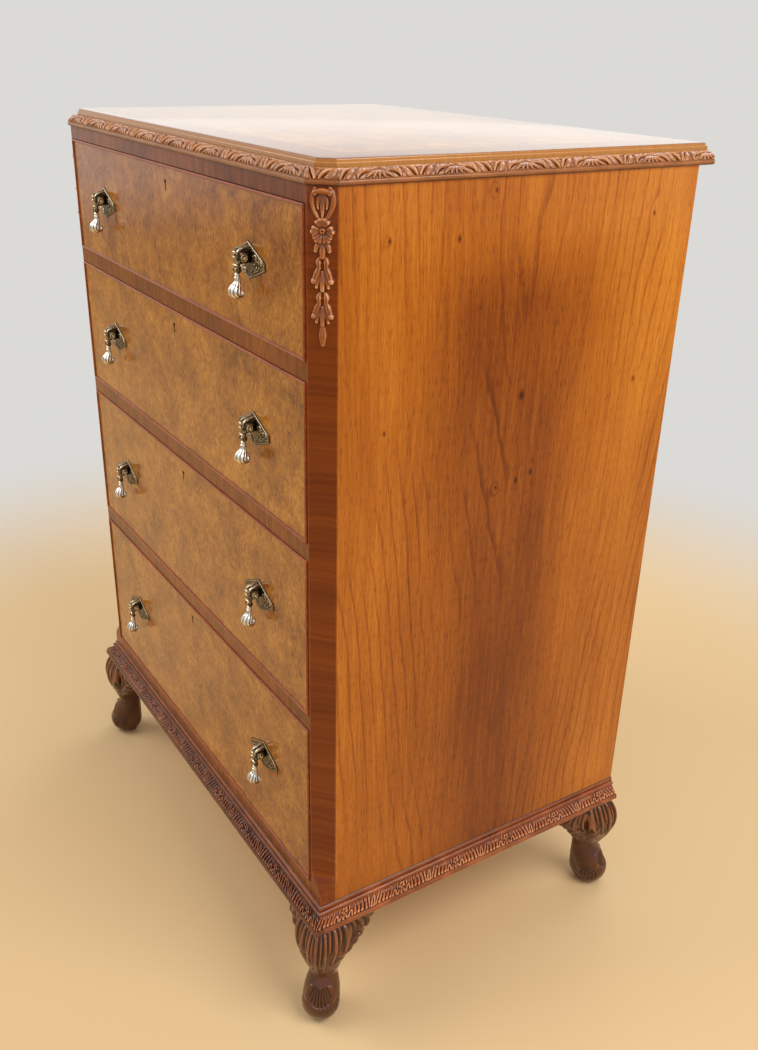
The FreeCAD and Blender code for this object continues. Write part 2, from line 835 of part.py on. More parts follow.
def lock_case_blank(index):
    """The case in the back of the drawer front and the selvedge in its top edge."""
    inner = front_y + front_thickness
    top = drawer_top(index)
    half = lock_width / 2
    case = block((-half, half), (inner - lock_depth, inner), (top - lock_height, top))
    selvedge = block((-half, half), (inner - selvedge_depth, inner),
                     (top - selvedge_thickness, top))
    return case.fuse(selvedge).removeSplitter()


def lock_bolt_blank(index, clearance, extra_top):
    half = bolt_width / 2 + clearance
    depth = bolt_thickness / 2 + clearance
    top = drawer_top(index)
    middle = bolt_middle_y()
    return block((-half, half), (middle - depth, middle + depth),
                 (top - bolt_height - clearance, top + extra_top))


def lock(index):
    """Lock case with a pocket for its bolt, and the keyhole's lining as a second solid."""
    case = lock_case_blank(index).cut(lock_bolt_blank(index, bolt_clearance, 1))
    case = case.cut(keyhole(index, 0, front_thickness - lock_depth / 2))
    lining = keyhole(index, lining_wall, lining_depth).cut(keyhole(index, 0, lining_depth))
    return case, lining


def lock_bolt(index):
    return lock_bolt_blank(index, 0, 0)


# ---------------------------------------------------------------- handles
# A handle is drawn with its middle at x = z = 0 and the drawer's face at y = 0.

def handle_z(index):
    return drawer_bottom(index) + drawer_heights[index] / 2 + handle_rise


def handle_plate():
    """A wide six-sided plate, a boss that stands out of it, two cheeks and the fixing bolt."""
    half, tall = plate_width / 2, plate_height / 2
    plate = front_view([(0, tall), (half, plate_end_top), (half, plate_end_bottom), (0, -tall),
                        (-half, plate_end_bottom), (-half, plate_end_top)], -plate_thickness, 0)
    wide = boss_width / 2
    cheek_top = -pivot_drop + cheek_radius + cheek_neck
    boss = side_view([(0, boss_top), (-boss_crown_reach, boss_top + boss_crown,
                                      -boss_reach, boss_nose_height),
                      (boss_lip - boss_reach, cheek_top + boss_lip), (-pivot_reach, cheek_top),
                      (0, cheek_top)], -wide, wide)
    body = plate.fuse(boss)
    inner = cheek_gap / 2
    outer = inner + cheek_thickness
    for low, high in ((inner, outer), (-outer, -inner)):
        centre = V(low, -pivot_reach, -pivot_drop)
        disc = rod(cheek_radius, centre, V(1, 0, 0), high - low)
        web = block((low, high), (-pivot_reach - cheek_radius, -pivot_reach + cheek_radius),
                    (-pivot_drop, cheek_top + boss_lip))
        body = body.fuse(disc).fuse(web)
    body = body.fuse(rod(handle_bolt_radius, V(0, -plate_thickness, 0), V(0, 1, 0),
                         plate_thickness + front_thickness + handle_bolt_end))
    return body.removeSplitter().cut(hinge_pin())


def hinge_pin():
    half = cheek_gap / 2 + cheek_thickness
    return rod(pin_radius, V(-half, -pivot_reach, -pivot_drop), V(1, 0, 0), 2 * half)


def handle_nut():
    """A square nut and its bolt hole, against the back of the drawer front."""
    nut = block((-nut_radius, nut_radius), (front_thickness, front_thickness + nut_thickness),
                (-nut_radius, nut_radius))
    return nut.cut(rod(handle_bolt_radius, V(0, 0, 0), V(0, 1, 0), 2 * front_thickness))


def handle_drop():
    """A scrolled shell: a neck on an eye, widening to a fan whose tip curls back to the drawer."""
    zp, yp = -pivot_drop, -pivot_reach
    low, top = zp - drop_length, zp - neck_top
    volute_y = -drop_back - volute_radius
    volute_z = low + volute_radius + lip_height
    neck = neck_width / 2
    waist = top - neck_length
    profile = [(yp - neck, top), (yp + neck, top), (yp + neck - neck_taper, waist),
               (yp + neck - shell_throat, volute_z + shell_rise),
               (volute_y, volute_z + volute_radius),
               (-drop_back, volute_z, volute_y, volute_z - volute_radius - volute_sag),
               (lip_start - drop_reach, low),
               (lip_round - drop_reach, low + lip_height, -drop_reach, low + drop_reach_height),
               (shell_crest - drop_reach, waist - shell_crest_drop)]
    wide = drop_width / 2
    shoulder, widest = low + fan_shoulder_height, low + fan_widest_height
    face = [(-neck, top), (neck, top), (neck, waist), (fan_shoulder, shoulder, wide, widest),
            (0, low - fan_bow, -wide, widest), (-fan_shoulder, shoulder, -neck, waist)]
    body = side_view(profile, -wide, wide).common(front_view(face, -drop_reach - 1, 0))
    half = eye_thickness / 2
    eye = rod(eye_radius, V(-half, yp, zp), V(1, 0, 0), eye_thickness)
    shank = block((-half, half), (yp - half, yp + half), (top - half, zp - pin_radius))
    hole = rod(pin_radius + pin_clearance, V(-2 * half, yp, zp), V(1, 0, 0), 4 * half)
    return body.fuse(eye).fuse(shank).removeSplitter().cut(hole)


# ---------------------------------------------------------------- all sub-parts

def write_carcass():
    write("side_panel_right", side_panel())
    write("side_panel_left", mirrored(side_panel()))
    write("corner_post_right", corner_post())
    write("corner_post_left", mirrored(corner_post()))
    write("back_panel", back_panel())
    write("front_rails", *front_rails())
    write("back_rail", back_rail())
    write("bottom_board", bottom_board())
    write("drawer_runners", *drawer_runners())
    write("drawer_stops", *drawer_stops())
    write("fixing_screws", *(top_screws() + panel_screws()))
    write("top_board", top_board())
    write("top_moulding", *top_moulding())
    write("corner_carvings", corner_carving(), mirrored(corner_carving()))


def write_base():
    write("base_frame", *base_frame())
    write("base_moulding", *base_moulding())
    solids = leg()
    for name, x_sign, y_sign in (("front_left", -1, -1), ("front_right", 1, -1),
                                 ("back_left", -1, 1), ("back_right", 1, 1)):
        write("leg_" + name, *[at_corner(solid, x_sign, y_sign) for solid in solids])


def write_drawer(index):
    name = "drawer_%d_" % (index + 1)
    side = drawer_side(index)
    write(name + "front", drawer_front(index))
    write(name + "cockbead", *cockbead(index))
    write(name + "sides", side, mirrored(side))
    write(name + "back", drawer_back(index))
    write(name + "bottom", drawer_bottom_board(index))
    write(name + "lock", *lock(index))
    write(name + "bolt", lock_bolt(index))
    places = {"left": -handle_spacing / 2, "right": handle_spacing / 2}
    fittings = [handle_plate(), hinge_pin(), handle_nut()]
    write(name + "plates", *[moved(piece, x, front_y, handle_z(index))
                             for x in places.values() for piece in fittings])
    for side_name, x in places.items():
        write(name + "drop_" + side_name, moved(handle_drop(), x, front_y, handle_z(index)))


os.makedirs("parts", exist_ok=True)
write_carcass()
write_base()
for drawer_index in range(drawer_count):
    write_drawer(drawer_index)
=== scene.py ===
import math

import bpy
import numpy as np
from mathutils import Matrix, Vector


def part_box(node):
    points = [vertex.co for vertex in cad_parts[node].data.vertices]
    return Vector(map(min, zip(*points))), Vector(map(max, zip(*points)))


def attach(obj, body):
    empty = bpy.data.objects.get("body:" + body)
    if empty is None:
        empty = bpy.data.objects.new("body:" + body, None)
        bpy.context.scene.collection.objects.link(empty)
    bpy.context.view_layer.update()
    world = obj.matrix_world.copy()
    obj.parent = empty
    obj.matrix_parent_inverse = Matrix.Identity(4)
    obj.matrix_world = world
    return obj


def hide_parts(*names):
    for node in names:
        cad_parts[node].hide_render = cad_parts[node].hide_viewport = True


# Looks of a walnut bachelors chest: four burr walnut drawers, carved top and base mouldings,
# carved cabriole legs, carved corner drops and cast drop handles.
# Sizes are in millimetres in the frame of the model, unless a name says otherwise; points are
# turned into metres when a mesh is made. +X is right, +Y is back, +Z is up.

MM = 0.001

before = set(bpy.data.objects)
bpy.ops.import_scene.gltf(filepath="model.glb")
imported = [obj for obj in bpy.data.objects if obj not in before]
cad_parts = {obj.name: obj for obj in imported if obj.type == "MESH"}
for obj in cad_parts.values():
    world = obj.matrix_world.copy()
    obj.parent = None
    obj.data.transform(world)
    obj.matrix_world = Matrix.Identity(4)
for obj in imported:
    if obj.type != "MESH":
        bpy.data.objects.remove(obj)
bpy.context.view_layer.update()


def box_mm(node):
    """Lowest and highest corner of a node in millimetres."""
    low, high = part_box(node)
    return np.array(low) / MM, np.array(high) / MM


# ---------------------------------------------------------------- sizes read from the frame

post_low, post_high = box_mm("corner_post_right")
panel_low, panel_high = box_mm("side_panel_right")
board_high = box_mm("top_board")[1]

half_width = post_high[0]
front_y = post_low[1]
back_y = panel_high[1]
base_z = post_low[2]
carcass_top = post_high[2]
cant_leg = panel_low[1] - front_y
drawer_numbers = (1, 2, 3, 4)
SLANT = math.sqrt(0.5)


# ---------------------------------------------------------------- node trees

POLISH_IOR = 1.36               # of the thin shellac polish


def srgb(red, green, blue):
    """A linear colour with alpha from 8-bit display values."""
    def linear(value):
        share = value / 255
        return share / 12.92 if share <= 0.04045 else ((share + 0.055) / 1.055) ** 2.4
    return linear(red), linear(green), linear(blue), 1.0


class Shader:
    """A node tree built by calls. What a call returns is a socket for the next one."""

    def __init__(self, owner, output):
        owner.use_nodes = True
        self.owner, self.tree = owner, owner.node_tree
        self.tree.nodes.clear()
        self.output = self.node(output)

    def node(self, kind, inputs=None, **settings):
        made = self.tree.nodes.new(kind)
        for key, value in settings.items():
            setattr(made, key, value)
        for key, value in (inputs or {}).items():
            if isinstance(value, bpy.types.NodeSocket):
                self.tree.links.new(value, made.inputs[key])
            else:
                made.inputs[key].default_value = value
        return made

    def show(self, node):
        """Puts a node on the output and gives the material or world it is for."""
        self.tree.links.new(node.outputs[0], self.output.inputs[0])
        return self.owner

    def math(self, operation, first, second=0.0):
        return self.node("ShaderNodeMath", {0: first, 1: second}, operation=operation).outputs[0]

    def add(self, first, second):
        return self.math("ADD", first, second)

    def times(self, first, second):
        return self.math("MULTIPLY", first, second)

    def blend(self, share, first, second):
        """The first where the share is 1, the second where it is 0."""
        rest = self.math("SUBTRACT", 1.0, share)
        return self.add(self.times(first, share), self.times(second, rest))

    def split(self):
        """The position's x, y and z."""
        return tuple(self.node("ShaderNodeSeparateXYZ", {0: self.position}).outputs)

    def join(self, x, y):
        return self.node("ShaderNodeCombineXYZ", {0: x, 1: y}).outputs[0]

    def stretched(self, x, y, z, vector=None):
        """The position, multiplied along each axis: the scale of a pattern, per metre."""
        return self.node("ShaderNodeVectorMath", {0: vector or self.position, 1: (x, y, z)},
                         operation="MULTIPLY").outputs[0]

    def grained(self, axis, across, along, vector=None):
        """The position, with one scale along an axis (0, 1 or 2) and another across it."""
        scale = [across] * 3
        scale[axis] = along
        return self.stretched(*scale, vector)

    def noise(self, vector, detail=3.0, roughness=0.5, distortion=0.0, scale=1.0):
        return self.node("ShaderNodeTexNoise", {"Vector": vector, "Scale": scale, "Detail": detail,
                                                "Roughness": roughness,
                                                "Distortion": distortion}).outputs["Fac"]

    def between(self, value, low, high, to_low=0.0, to_high=1.0):
        """Maps low..high to to_low..to_high smoothly and holds it beyond."""
        return self.node("ShaderNodeMapRange", {"Value": value, "From Min": low, "From Max": high,
                                                "To Min": to_low, "To Max": to_high},
                         interpolation_type="SMOOTHSTEP").outputs[0]

    def toned(self, base, patterns, marks=()):
        """A base with (value, amount) rows: patterns swing about 0.5, marks start from 0."""
        for value, amount in patterns:
            base = self.add(base, self.times(self.add(value, -0.5), amount))
        for value, amount in marks:
            base = self.add(base, self.times(value, amount))
        return base

    def ramp(self, factor, places, colours):
        """Colours are 8-bit display values."""
        made = self.node("ShaderNodeValToRGB", {"Fac": factor})
        elements = made.color_ramp.elements
        while len(elements) < len(places):
            elements.new(0.5)
        for element, place, colour in zip(elements, places, colours):
            element.position = place
            element.color = srgb(*colour)
        return made.outputs[0]

    def wear(self):
        """The mesh's wear, with painted shade and highlight on the carved wood: dark hollows below
        0.5, light ridges above it.
        """
        return self.node("ShaderNodeAttribute", attribute_name="wear").outputs["Fac"]

    def bump(self, height, distance, strength=1.0):
        """Distance is in millimetres."""
        return self.node("ShaderNodeBump", {"Height": height, "Distance": distance * MM,
                                            "Strength": strength}).outputs[0]

    def surface(self, colour, roughness, normal, coat=0.0, coat_roughness=0.1, metallic=0.0,
                specular=0.5):
        inputs = {"Base Color": colour, "Roughness": roughness, "Metallic": metallic,
                  "Specular IOR Level": specular, "Coat Weight": coat, "Normal": normal,
                  "Coat Roughness": coat_roughness, "Coat IOR": POLISH_IOR}
        return self.show(self.node("ShaderNodeBsdfPrincipled", inputs))


def material_shader(name):
    """The shader of a new material. Its position is the point's place in the frame, in metres."""
    shader = Shader(bpy.data.materials.new(name), "ShaderNodeOutputMaterial")
    shader.position = shader.node("ShaderNodeTexCoord").outputs["Object"]
    return shader


# ---------------------------------------------------------------- woods

def grain_streaks(shader, across, along, width, length, detail=3.0):
    """Streaks of a width and length in millimetres, from 0 to 1 about 0.5."""
    vector = shader.join(shader.times(across, 1000 / width), shader.times(along, 1000 / length))
    return shader.noise(vector, detail=detail, roughness=0.6)


# Knots of the side panels: distance behind the front, height and radius.
PANEL_KNOTS = [(81, 1030, 3), (167, 1026, 4), (212, 1072, 3), (80, 828, 3), (268, 842, 6),
               (292, 742, 4), (270, 735, 4), (240, 732, 3), (447, 836, 4), (447, 1035, 3)]
PANEL_HEART = 10.0              # the figure's arches stand about this line, along y
PANEL_ARCH_ROUND = 30.0         # their radius at the top
PANEL_RINGS_ACROSS, PANEL_RINGS_UP = 58.0, -5.5     # rings for each metre
PANEL_HEART_TOP = 1040.0        # the darker heart fades out below this height
PANEL_LOW_FROM, PANEL_LOW_TO = 800.0, 450.0     # the panel is darker below these heights


def figured_walnut(name):
    """Crown-cut walnut veneer standing on end: flame figure, pores, dark bands, small knots."""
    shader = material_shader(name)
    y, z = shader.split()[1:]
    warp = shader.noise(shader.stretched(0, 5.0, 1.5), detail=2.0, roughness=0.45)
    wave = shader.noise(shader.stretched(0, 24, 5.5), detail=3.0, roughness=0.55)
    off = shader.add(y, -PANEL_HEART * MM)
    arch = shader.math("SQRT", shader.add(shader.times(off, off), (PANEL_ARCH_ROUND * MM) ** 2))
    ring = shader.add(shader.times(arch, PANEL_RINGS_ACROSS), shader.times(z, PANEL_RINGS_UP))
    ring = shader.add(ring, shader.add(shader.times(warp, 5.5), shader.times(wave, 1.1)))
    core = 0.0
    for behind, height, radius in PANEL_KNOTS:
        dy = shader.times(shader.add(y, -(front_y + behind) * MM), 1 / (radius * MM))
        dz = shader.times(shader.add(z, -height * MM), 0.6 / (radius * MM))
        far = shader.add(shader.times(dy, dy), shader.times(dz, dz))
        ring = shader.add(ring, shader.times(shader.math("EXPONENT", shader.times(far, -0.2)), 0.9))
        core = shader.math("MAXIMUM", core, shader.math("EXPONENT", shader.times(far, -3.4)))
    phase = shader.math("FRACT", ring)
    line = shader.times(shader.between(phase, 0.72, 0.95), shader.between(phase, 1.0, 0.95))
    fade = shader.between(shader.noise(shader.stretched(0, 9, 3), detail=1.0), 0.35, 0.65)
    line = shader.times(line, fade)
    leaning = shader.add(y, shader.times(warp, 0.03))
    pore = shader.between(grain_streaks(shader, leaning, z, 0.9, 15.0, detail=2.0), 0.53, 0.7)
    fibres = grain_streaks(shader, leaning, z, 1.8, 70.0)
    threads = grain_streaks(shader, shader.add(y, shader.times(warp, 0.05)), z, 7.0, 260.0)
    bands = shader.noise(shader.stretched(0, 7.0, 0.7))
    clouds = shader.noise(shader.stretched(0, 7.0, 3.2))
    heart = shader.times(shader.between(shader.math("ABSOLUTE", off), 0.02, 0.2, 1.0, 0.0),
                         shader.between(z, PANEL_HEART_TOP * MM, 0.9 * PANEL_HEART_TOP * MM))
    low = shader.between(z, PANEL_LOW_FROM * MM, PANEL_LOW_TO * MM)
    tone = shader.toned(0.6, ((fibres, 0.32), (threads, 0.26), (bands, 0.55), (clouds, 0.28)),
                        ((pore, -0.2), (line, -0.17), (heart, -0.2), (low, -0.03), (core, -0.45)))
    colour = shader.ramp(tone, (0.0, 0.3, 0.56, 0.8, 1.0), (
        (56, 20, 4), (122, 55, 9), (172, 96, 22), (209, 133, 44), (228, 160, 70)))
    bump = shader.bump(shader.add(pore, line), -0.03, 0.25)
    rough = shader.between(pore, 0.0, 1.0, 0.34, 0.44)
    return shader.surface(colour, rough, bump, coat=0.9, coat_roughness=0.14, specular=0.1)


BURR_PLACES = (0.08, 0.34, 0.56, 0.78, 1.0)
BURR_TONES = ((70, 33, 5), (124, 68, 14), (158, 97, 26), (186, 124, 44), (206, 150, 72))


def burr_figure(shader, axis):
    """Burr walnut: short flecks along one axis, soft clouds and clusters of dark eyes."""
    swirl = shader.node("ShaderNodeTexNoise", {"Vector": shader.position, "Scale": 22.0,
                                               "Detail": 2.0, "Roughness": 0.5}).outputs["Color"]
    moved = shader.node("ShaderNodeVectorMath", {0: swirl, 1: (0.022, 0.022, 0.022),
                                                 2: shader.position},
                        operation="MULTIPLY_ADD").outputs[0]
    clouds = shader.noise(moved, detail=4.0, roughness=0.6, scale=13.0)
    mottle = shader.noise(moved, detail=4.0, roughness=0.6, distortion=0.4, scale=55.0)
    fleck, fine, pepper = (
        shader.noise(shader.grained(axis, across, along, moved), detail=detail, roughness=roughness)
        for across, along, detail, roughness in ((300, 135, 3.0, 0.6), (760, 260, 2.0, 0.6),
                                                 (430, 200, 1.0, 0.5)))
    cell = shader.node("ShaderNodeTexVoronoi", {"Vector": moved, "Scale": 120.0,
                                                "Randomness": 1.0}).outputs["Distance"]
    eye = shader.times(shader.between(cell, 0.17, 0.04), shader.between(clouds, 0.47, 0.36))
    tone = shader.toned(0.57, ((clouds, 0.9), (mottle, 0.6), (fleck, 0.8), (fine, 0.3)),
                        ((shader.between(pepper, 0.6, 0.72), -0.22), (eye, -0.3)))
    return tone, fine


def burr_face(name):
    """The drawer fronts."""
    shader = material_shader(name)
    tone, fine = burr_figure(shader, 2)
    return shader.surface(shader.ramp(tone, BURR_PLACES, BURR_TONES), 0.4,
                          shader.bump(fine, 0.02, 0.2), coat=1.0, coat_roughness=0.13, specular=0.1)


TOP_BORDER = 46.0               # width of the crossbanding round the top
# Between these depths below the top its edge is lightened, a painted highlight: how much of the
# figure it loses there, and the tone that it gets instead.
RIM_FROM, RIM_TO, RIM_LOSS, RIM_HIGHLIGHT = 0.4, 1.6, 0.55, 0.58


def top_face(name):
    """The top: burr inside a border of crossbanding, under a thick polish; its edge has a painted
    highlight.
    """
    shader = material_shader(name)
    x, y, z = shader.split()
    burr, fine = burr_figure(shader, 1)
    inset = TOP_LENGTHS["inset"]
    from_side = shader.math("SUBTRACT", (half_width - inset) * MM, shader.math("ABSOLUTE", x))
    from_front = shader.add(y, -(front_y + inset) * MM)
    from_back = shader.math("SUBTRACT", (board_high[1] - inset) * MM, y)
    from_end = shader.math("MINIMUM", from_front, from_back)
    nearest = shader.math("MINIMUM", from_side, from_end)
    border = shader.between(nearest, (TOP_BORDER + 0.4) * MM, (TOP_BORDER - 0.4) * MM)
    band = shader.blend(shader.math("LESS_THAN", from_side, from_end),
                        grain_streaks(shader, y, x, 1.4, 30.0),
                        grain_streaks(shader, x, y, 1.4, 30.0))
    joint = shader.between(shader.math("ABSOLUTE", shader.add(nearest, -TOP_BORDER * MM)),
                           0.0007, 0.0003)
    tone = shader.blend(border, shader.toned(0.36, ((band, 1.0),)), burr)
    tone = shader.add(tone, shader.times(joint, -0.3))
    # The board's edge is lightened: painted highlight.
    rim = shader.between(z, (board_high[2] - RIM_FROM) * MM, (board_high[2] - RIM_TO) * MM)
    tone = shader.add(shader.times(tone, shader.add(1.0, shader.times(rim, -RIM_LOSS))),
                      shader.times(rim, RIM_HIGHLIGHT))
    return shader.surface(shader.ramp(tone, BURR_PLACES, BURR_TONES), 0.3,
                          shader.bump(fine, 0.01, 0.15), coat=1.0, coat_roughness=0.12)


def crossgrain_walnut(name):
    """Narrow veneers laid with the grain upright across the rails."""
    shader = material_shader(name)
    x, z = shader.split()[::2]
    wander = shader.noise(shader.stretched(30, 30, 12), detail=2.0)
    across = shader.add(x, shader.times(wander, 0.006))
    fine = grain_streaks(shader, across, z, 1.3, 22.0)
    broad = grain_streaks(shader, across, z, 9.0, 80.0)
    patch = shader.noise(shader.stretched(9, 9, 9), detail=2.0)
    tone = shader.toned(0.5, ((fine, 0.9), (broad, 0.8), (patch, 0.6)))
    colour = shader.ramp(tone, (0.1, 0.45, 0.75, 1.0), (
        (72, 31, 5), (118, 60, 14), (148, 82, 24), (176, 110, 44)))
    return shader.surface(colour, 0.42, shader.bump(fine, 0.04, 0.25), coat=0.75,
                          coat_roughness=0.15, specular=0.05)


def post_walnut(name):
    """Dark fiddleback walnut: ripples across the post, grain along it."""
    shader = material_shader(name)
    x, y, z = shader.split()
    across = shader.math("SUBTRACT", x, y)
    drift = shader.noise(shader.stretched(26, 26, 7), detail=2.0)
    waves = shader.add(shader.times(z, 260.0), shader.times(drift, 3.0))
    ripple = shader.noise(shader.join(shader.times(across, 60.0), waves), detail=2.0)
    fine = grain_streaks(shader, across, z, 1.0, 30.0)
    broad = grain_streaks(shader, across, z, 6.5, 260.0)
    inner = (front_y + cant_leg) * MM
    cant_edge = shader.times(shader.between(y, inner - 0.0014, inner - 0.0002),
                             shader.math("LESS_THAN", y, inner + 0.0006))
    tone = shader.toned(0.5, ((ripple, 0.42), (fine, 0.4), (broad, 0.8)), ((cant_edge, 0.3),))
    colour = shader.ramp(tone, (0.1, 0.42, 0.7, 1.0), (
        (62, 21, 3), (112, 48, 8), (144, 70, 15), (184, 106, 40)))
    return shader.surface(colour, 0.4, shader.bump(fine, 0.04, 0.25), coat=0.8,
                          coat_roughness=0.13, specular=0.05)


def bead_walnut(name):
    """Red-brown solid walnut with grain both ways, for the cockbeads."""
    shader = material_shader(name)
    fine = shader.noise(shader.stretched(260, 120, 260), roughness=0.6)
    patch = shader.noise(shader.stretched(16, 16, 16), detail=2.0)
    tone = shader.add(shader.times(fine, 0.6), shader.times(patch, 0.4))
    colour = shader.ramp(tone, (0.25, 0.5, 0.75), ((98, 36, 10), (150, 66, 24), (186, 98, 44)))
    return shader.surface(colour, 0.3, shader.bump(fine, 0.04, 0.3), coat=0.7,
                          coat_roughness=0.14, specular=0.3)


def plain_wood(name, tones, axis):
    """Straight-grained solid wood or ply, dark to light. Axis is the grain's: 0, 1 or 2."""
    shader = material_shader(name)
    wander = shader.noise(shader.stretched(6, 6, 6), detail=2.0)
    fine = shader.noise(shader.grained(axis, 1000 / 1.4, 1000 / 45), roughness=0.65)
    figure = shader.node("ShaderNodeVectorMath", {0: shader.grained(axis, 1000 / 16, 1000 / 420),
                                                  1: wander}, operation="ADD").outputs[0]
    broad = shader.noise(figure, detail=2.0, distortion=0.6)
    tone = shader.toned(0.5, ((fine, 0.9), (broad, 1.1)))
    return shader.surface(shader.ramp(tone, (0.2, 0.5, 0.85), tones), 0.55,
                          shader.bump(fine, 0.12, 0.5), specular=0.35)


# ---------------------------------------------------------------- metal of the locks and screws

TARNISH = (0.35, 0.65)          # the noise from which metal is dull, and at which it is bright


def metal(name, tones, scale, bright_rough, dull_rough):
    """Metal with tarnish in patches, dark to bright; the dark patches are duller."""
    shader = material_shader(name)
    patch = shader.noise(shader.position, detail=5.0, roughness=0.65, scale=scale)
    colour = shader.ramp(shader.between(patch, *TARNISH), (0.0, 1.0), tones)
    return shader.surface(colour, shader.between(patch, *TARNISH, dull_rough, bright_rough),
                          shader.bump(patch, 0.02, 0.5), metallic=1.0)


# ---------------------------------------------------------------- materials on the CAD pieces

def give(nodes, material):
    """Puts a material in every slot of these nodes."""
    for name in nodes:
        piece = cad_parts[name]
        if not piece.material_slots:
            piece.data.materials.append(material)
        for place in piece.material_slots:
            place.material = material


OAK = ((150, 116, 74), (190, 156, 108), (214, 186, 142))
PLY = ((158, 118, 78), (190, 152, 106), (212, 180, 136))
STAINED_PLY = ((112, 72, 42), (146, 100, 62), (172, 126, 84))
PINE = ((168, 122, 70), (204, 160, 102), (224, 188, 136))

for kind, material in (
        ("front", burr_face("walnut_burr")), ("cockbead", bead_walnut("walnut_bead")),
        ("sides", plain_wood("oak_sides", OAK, 1)), ("back", plain_wood("oak_backs", OAK, 0)),
        ("bottom", plain_wood("ply_bottoms", PLY, 0)),
        ("lock", metal("brass_lock", ((120, 92, 48), (196, 160, 92)), 190.0, 0.28, 0.5)),
        ("bolt", metal("steel_bolt", ((110, 108, 104), (176, 174, 170)), 240.0, 0.3, 0.5))):
    give(["drawer_%d_%s" % (number, kind) for number in drawer_numbers], material)
give(["side_panel_left", "side_panel_right"], figured_walnut("walnut_figured"))
give(["corner_post_left", "corner_post_right"], post_walnut("walnut_post"))
give(["front_rails"], crossgrain_walnut("walnut_crossgrain"))
give(["back_panel"], plain_wood("ply_back", STAINED_PLY, 2))
give(["back_rail", "bottom_board", "base_frame"], plain_wood("pine_cross", PINE, 0))
give(["drawer_stops"], plain_wood("pine_stops", PINE, 0))
give(["drawer_runners"], plain_wood("pine_runners", PINE, 1))
give(["fixing_screws"], metal("steel_screws", ((92, 84, 74), (150, 142, 130)), 300.0, 0.35, 0.6))


# ---------------------------------------------------------------- meshes

def unit(vectors):
    return vectors / np.linalg.norm(vectors, axis=-1, keepdims=True)


def full_turn(count):
    """Angles of a ring's points."""
    return np.linspace(0, 2 * math.pi, count, endpoint=False)


def added(name, data):
    """A new object in the scene."""
    made = bpy.data.objects.new(name, data)
    bpy.context.scene.collection.objects.link(made)
    return made


def make_piece(name, points, faces, wear, material, body, node, slot, sharp=None):
    """A mesh piece that stands for a node. Points are in millimetres; each has its wear, which on
    the carved wood holds painted shade and highlight too.
    """
    mesh = bpy.data.meshes.new(name)
    mesh.from_pydata((np.asarray(points) * MM).tolist(), [], [list(face) for face in faces])
    mesh.validate()
    mesh.materials.append(material)
    mesh.shade_smooth()
    if sharp is not None:
        mesh.set_sharp_from_angle(angle=math.radians(sharp))
    # This attribute holds wear together with painted shade in the hollows and painted highlight on
    # the ridges of the carved wood.
    layer = mesh.attributes.new("wear", "FLOAT", "POINT")
    layer.data.foreach_set("value", np.asarray(wear, np.float32))
    piece = added(name, mesh)
    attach(piece, body)
    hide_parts(node)


def volume(points, faces):
    """Signed volume of a closed skin: negative where its faces look inwards."""
    fans = [(face[0], b, c) for face in faces for b, c in zip(face[1:], face[2:])]
    a, b, c = (points[corner] for corner in np.asarray(fans).T)
    return np.einsum("ij,ij->i", a, np.cross(b, c)).sum() / 6


class Shell:
    """Closed shells gathered into one mesh, with a wear for each point, which on the carved wood
    holds painted shade and highlight too.
    """

    def __init__(self):
        self.points, self.faces, self.wear = [], [], []

    def add(self, points, faces, wear=0.5):
        start = sum(len(part) for part in self.points)
        points = np.asarray(points, float)
        if volume(points, faces) < 0:
            faces = [face[::-1] for face in faces]
        self.points.append(points)
        self.faces.extend([start + corner for corner in face] for face in faces)
        self.wear.append(np.broadcast_to(wear, (len(points),)))

    def whole(self):
        """Points, faces and wear of the whole."""
        return np.concatenate(self.points), self.faces, np.concatenate(self.wear)

    def moved(self, step):
        """A copy moved by a step."""
        points, faces, wear = self.whole()
        copy = Shell()
        copy.points, copy.faces, copy.wear = [points + step], list(faces), [wear]
        return copy

    def piece(self, name, *details, **more):
        make_piece(name, *self.whole(), *details, **more)


def loft(sections):
    """A closed skin over rings of points, all of one length, with flat ends."""
    sections = np.asarray(sections, float)
    rings, around = sections.shape[:2]
    index = np.arange(rings * around).reshape(rings, around)
    a, b = index[:-1], index[1:]
    a_next, b_next = np.roll(a, -1, 1), np.roll(b, -1, 1)
    quads = np.stack([a, a_next, b_next, b], -1).reshape(-1, 4).tolist()
    return sections.reshape(-1, 3), quads + [index[0][::-1].tolist(), index[-1].tolist()]


# ---------------------------------------------------------------- carving as height fields

def bezier(points, count=48):
    """Points along the Bezier curve with these control points."""
    points = np.asarray(points, float)
    share = np.linspace(0, 1, count)[:, None]
    order = len(points) - 1
    return sum(math.comb(order, i) * share ** i * (1 - share) ** (order - i) * points[i]
               for i in range(order + 1))


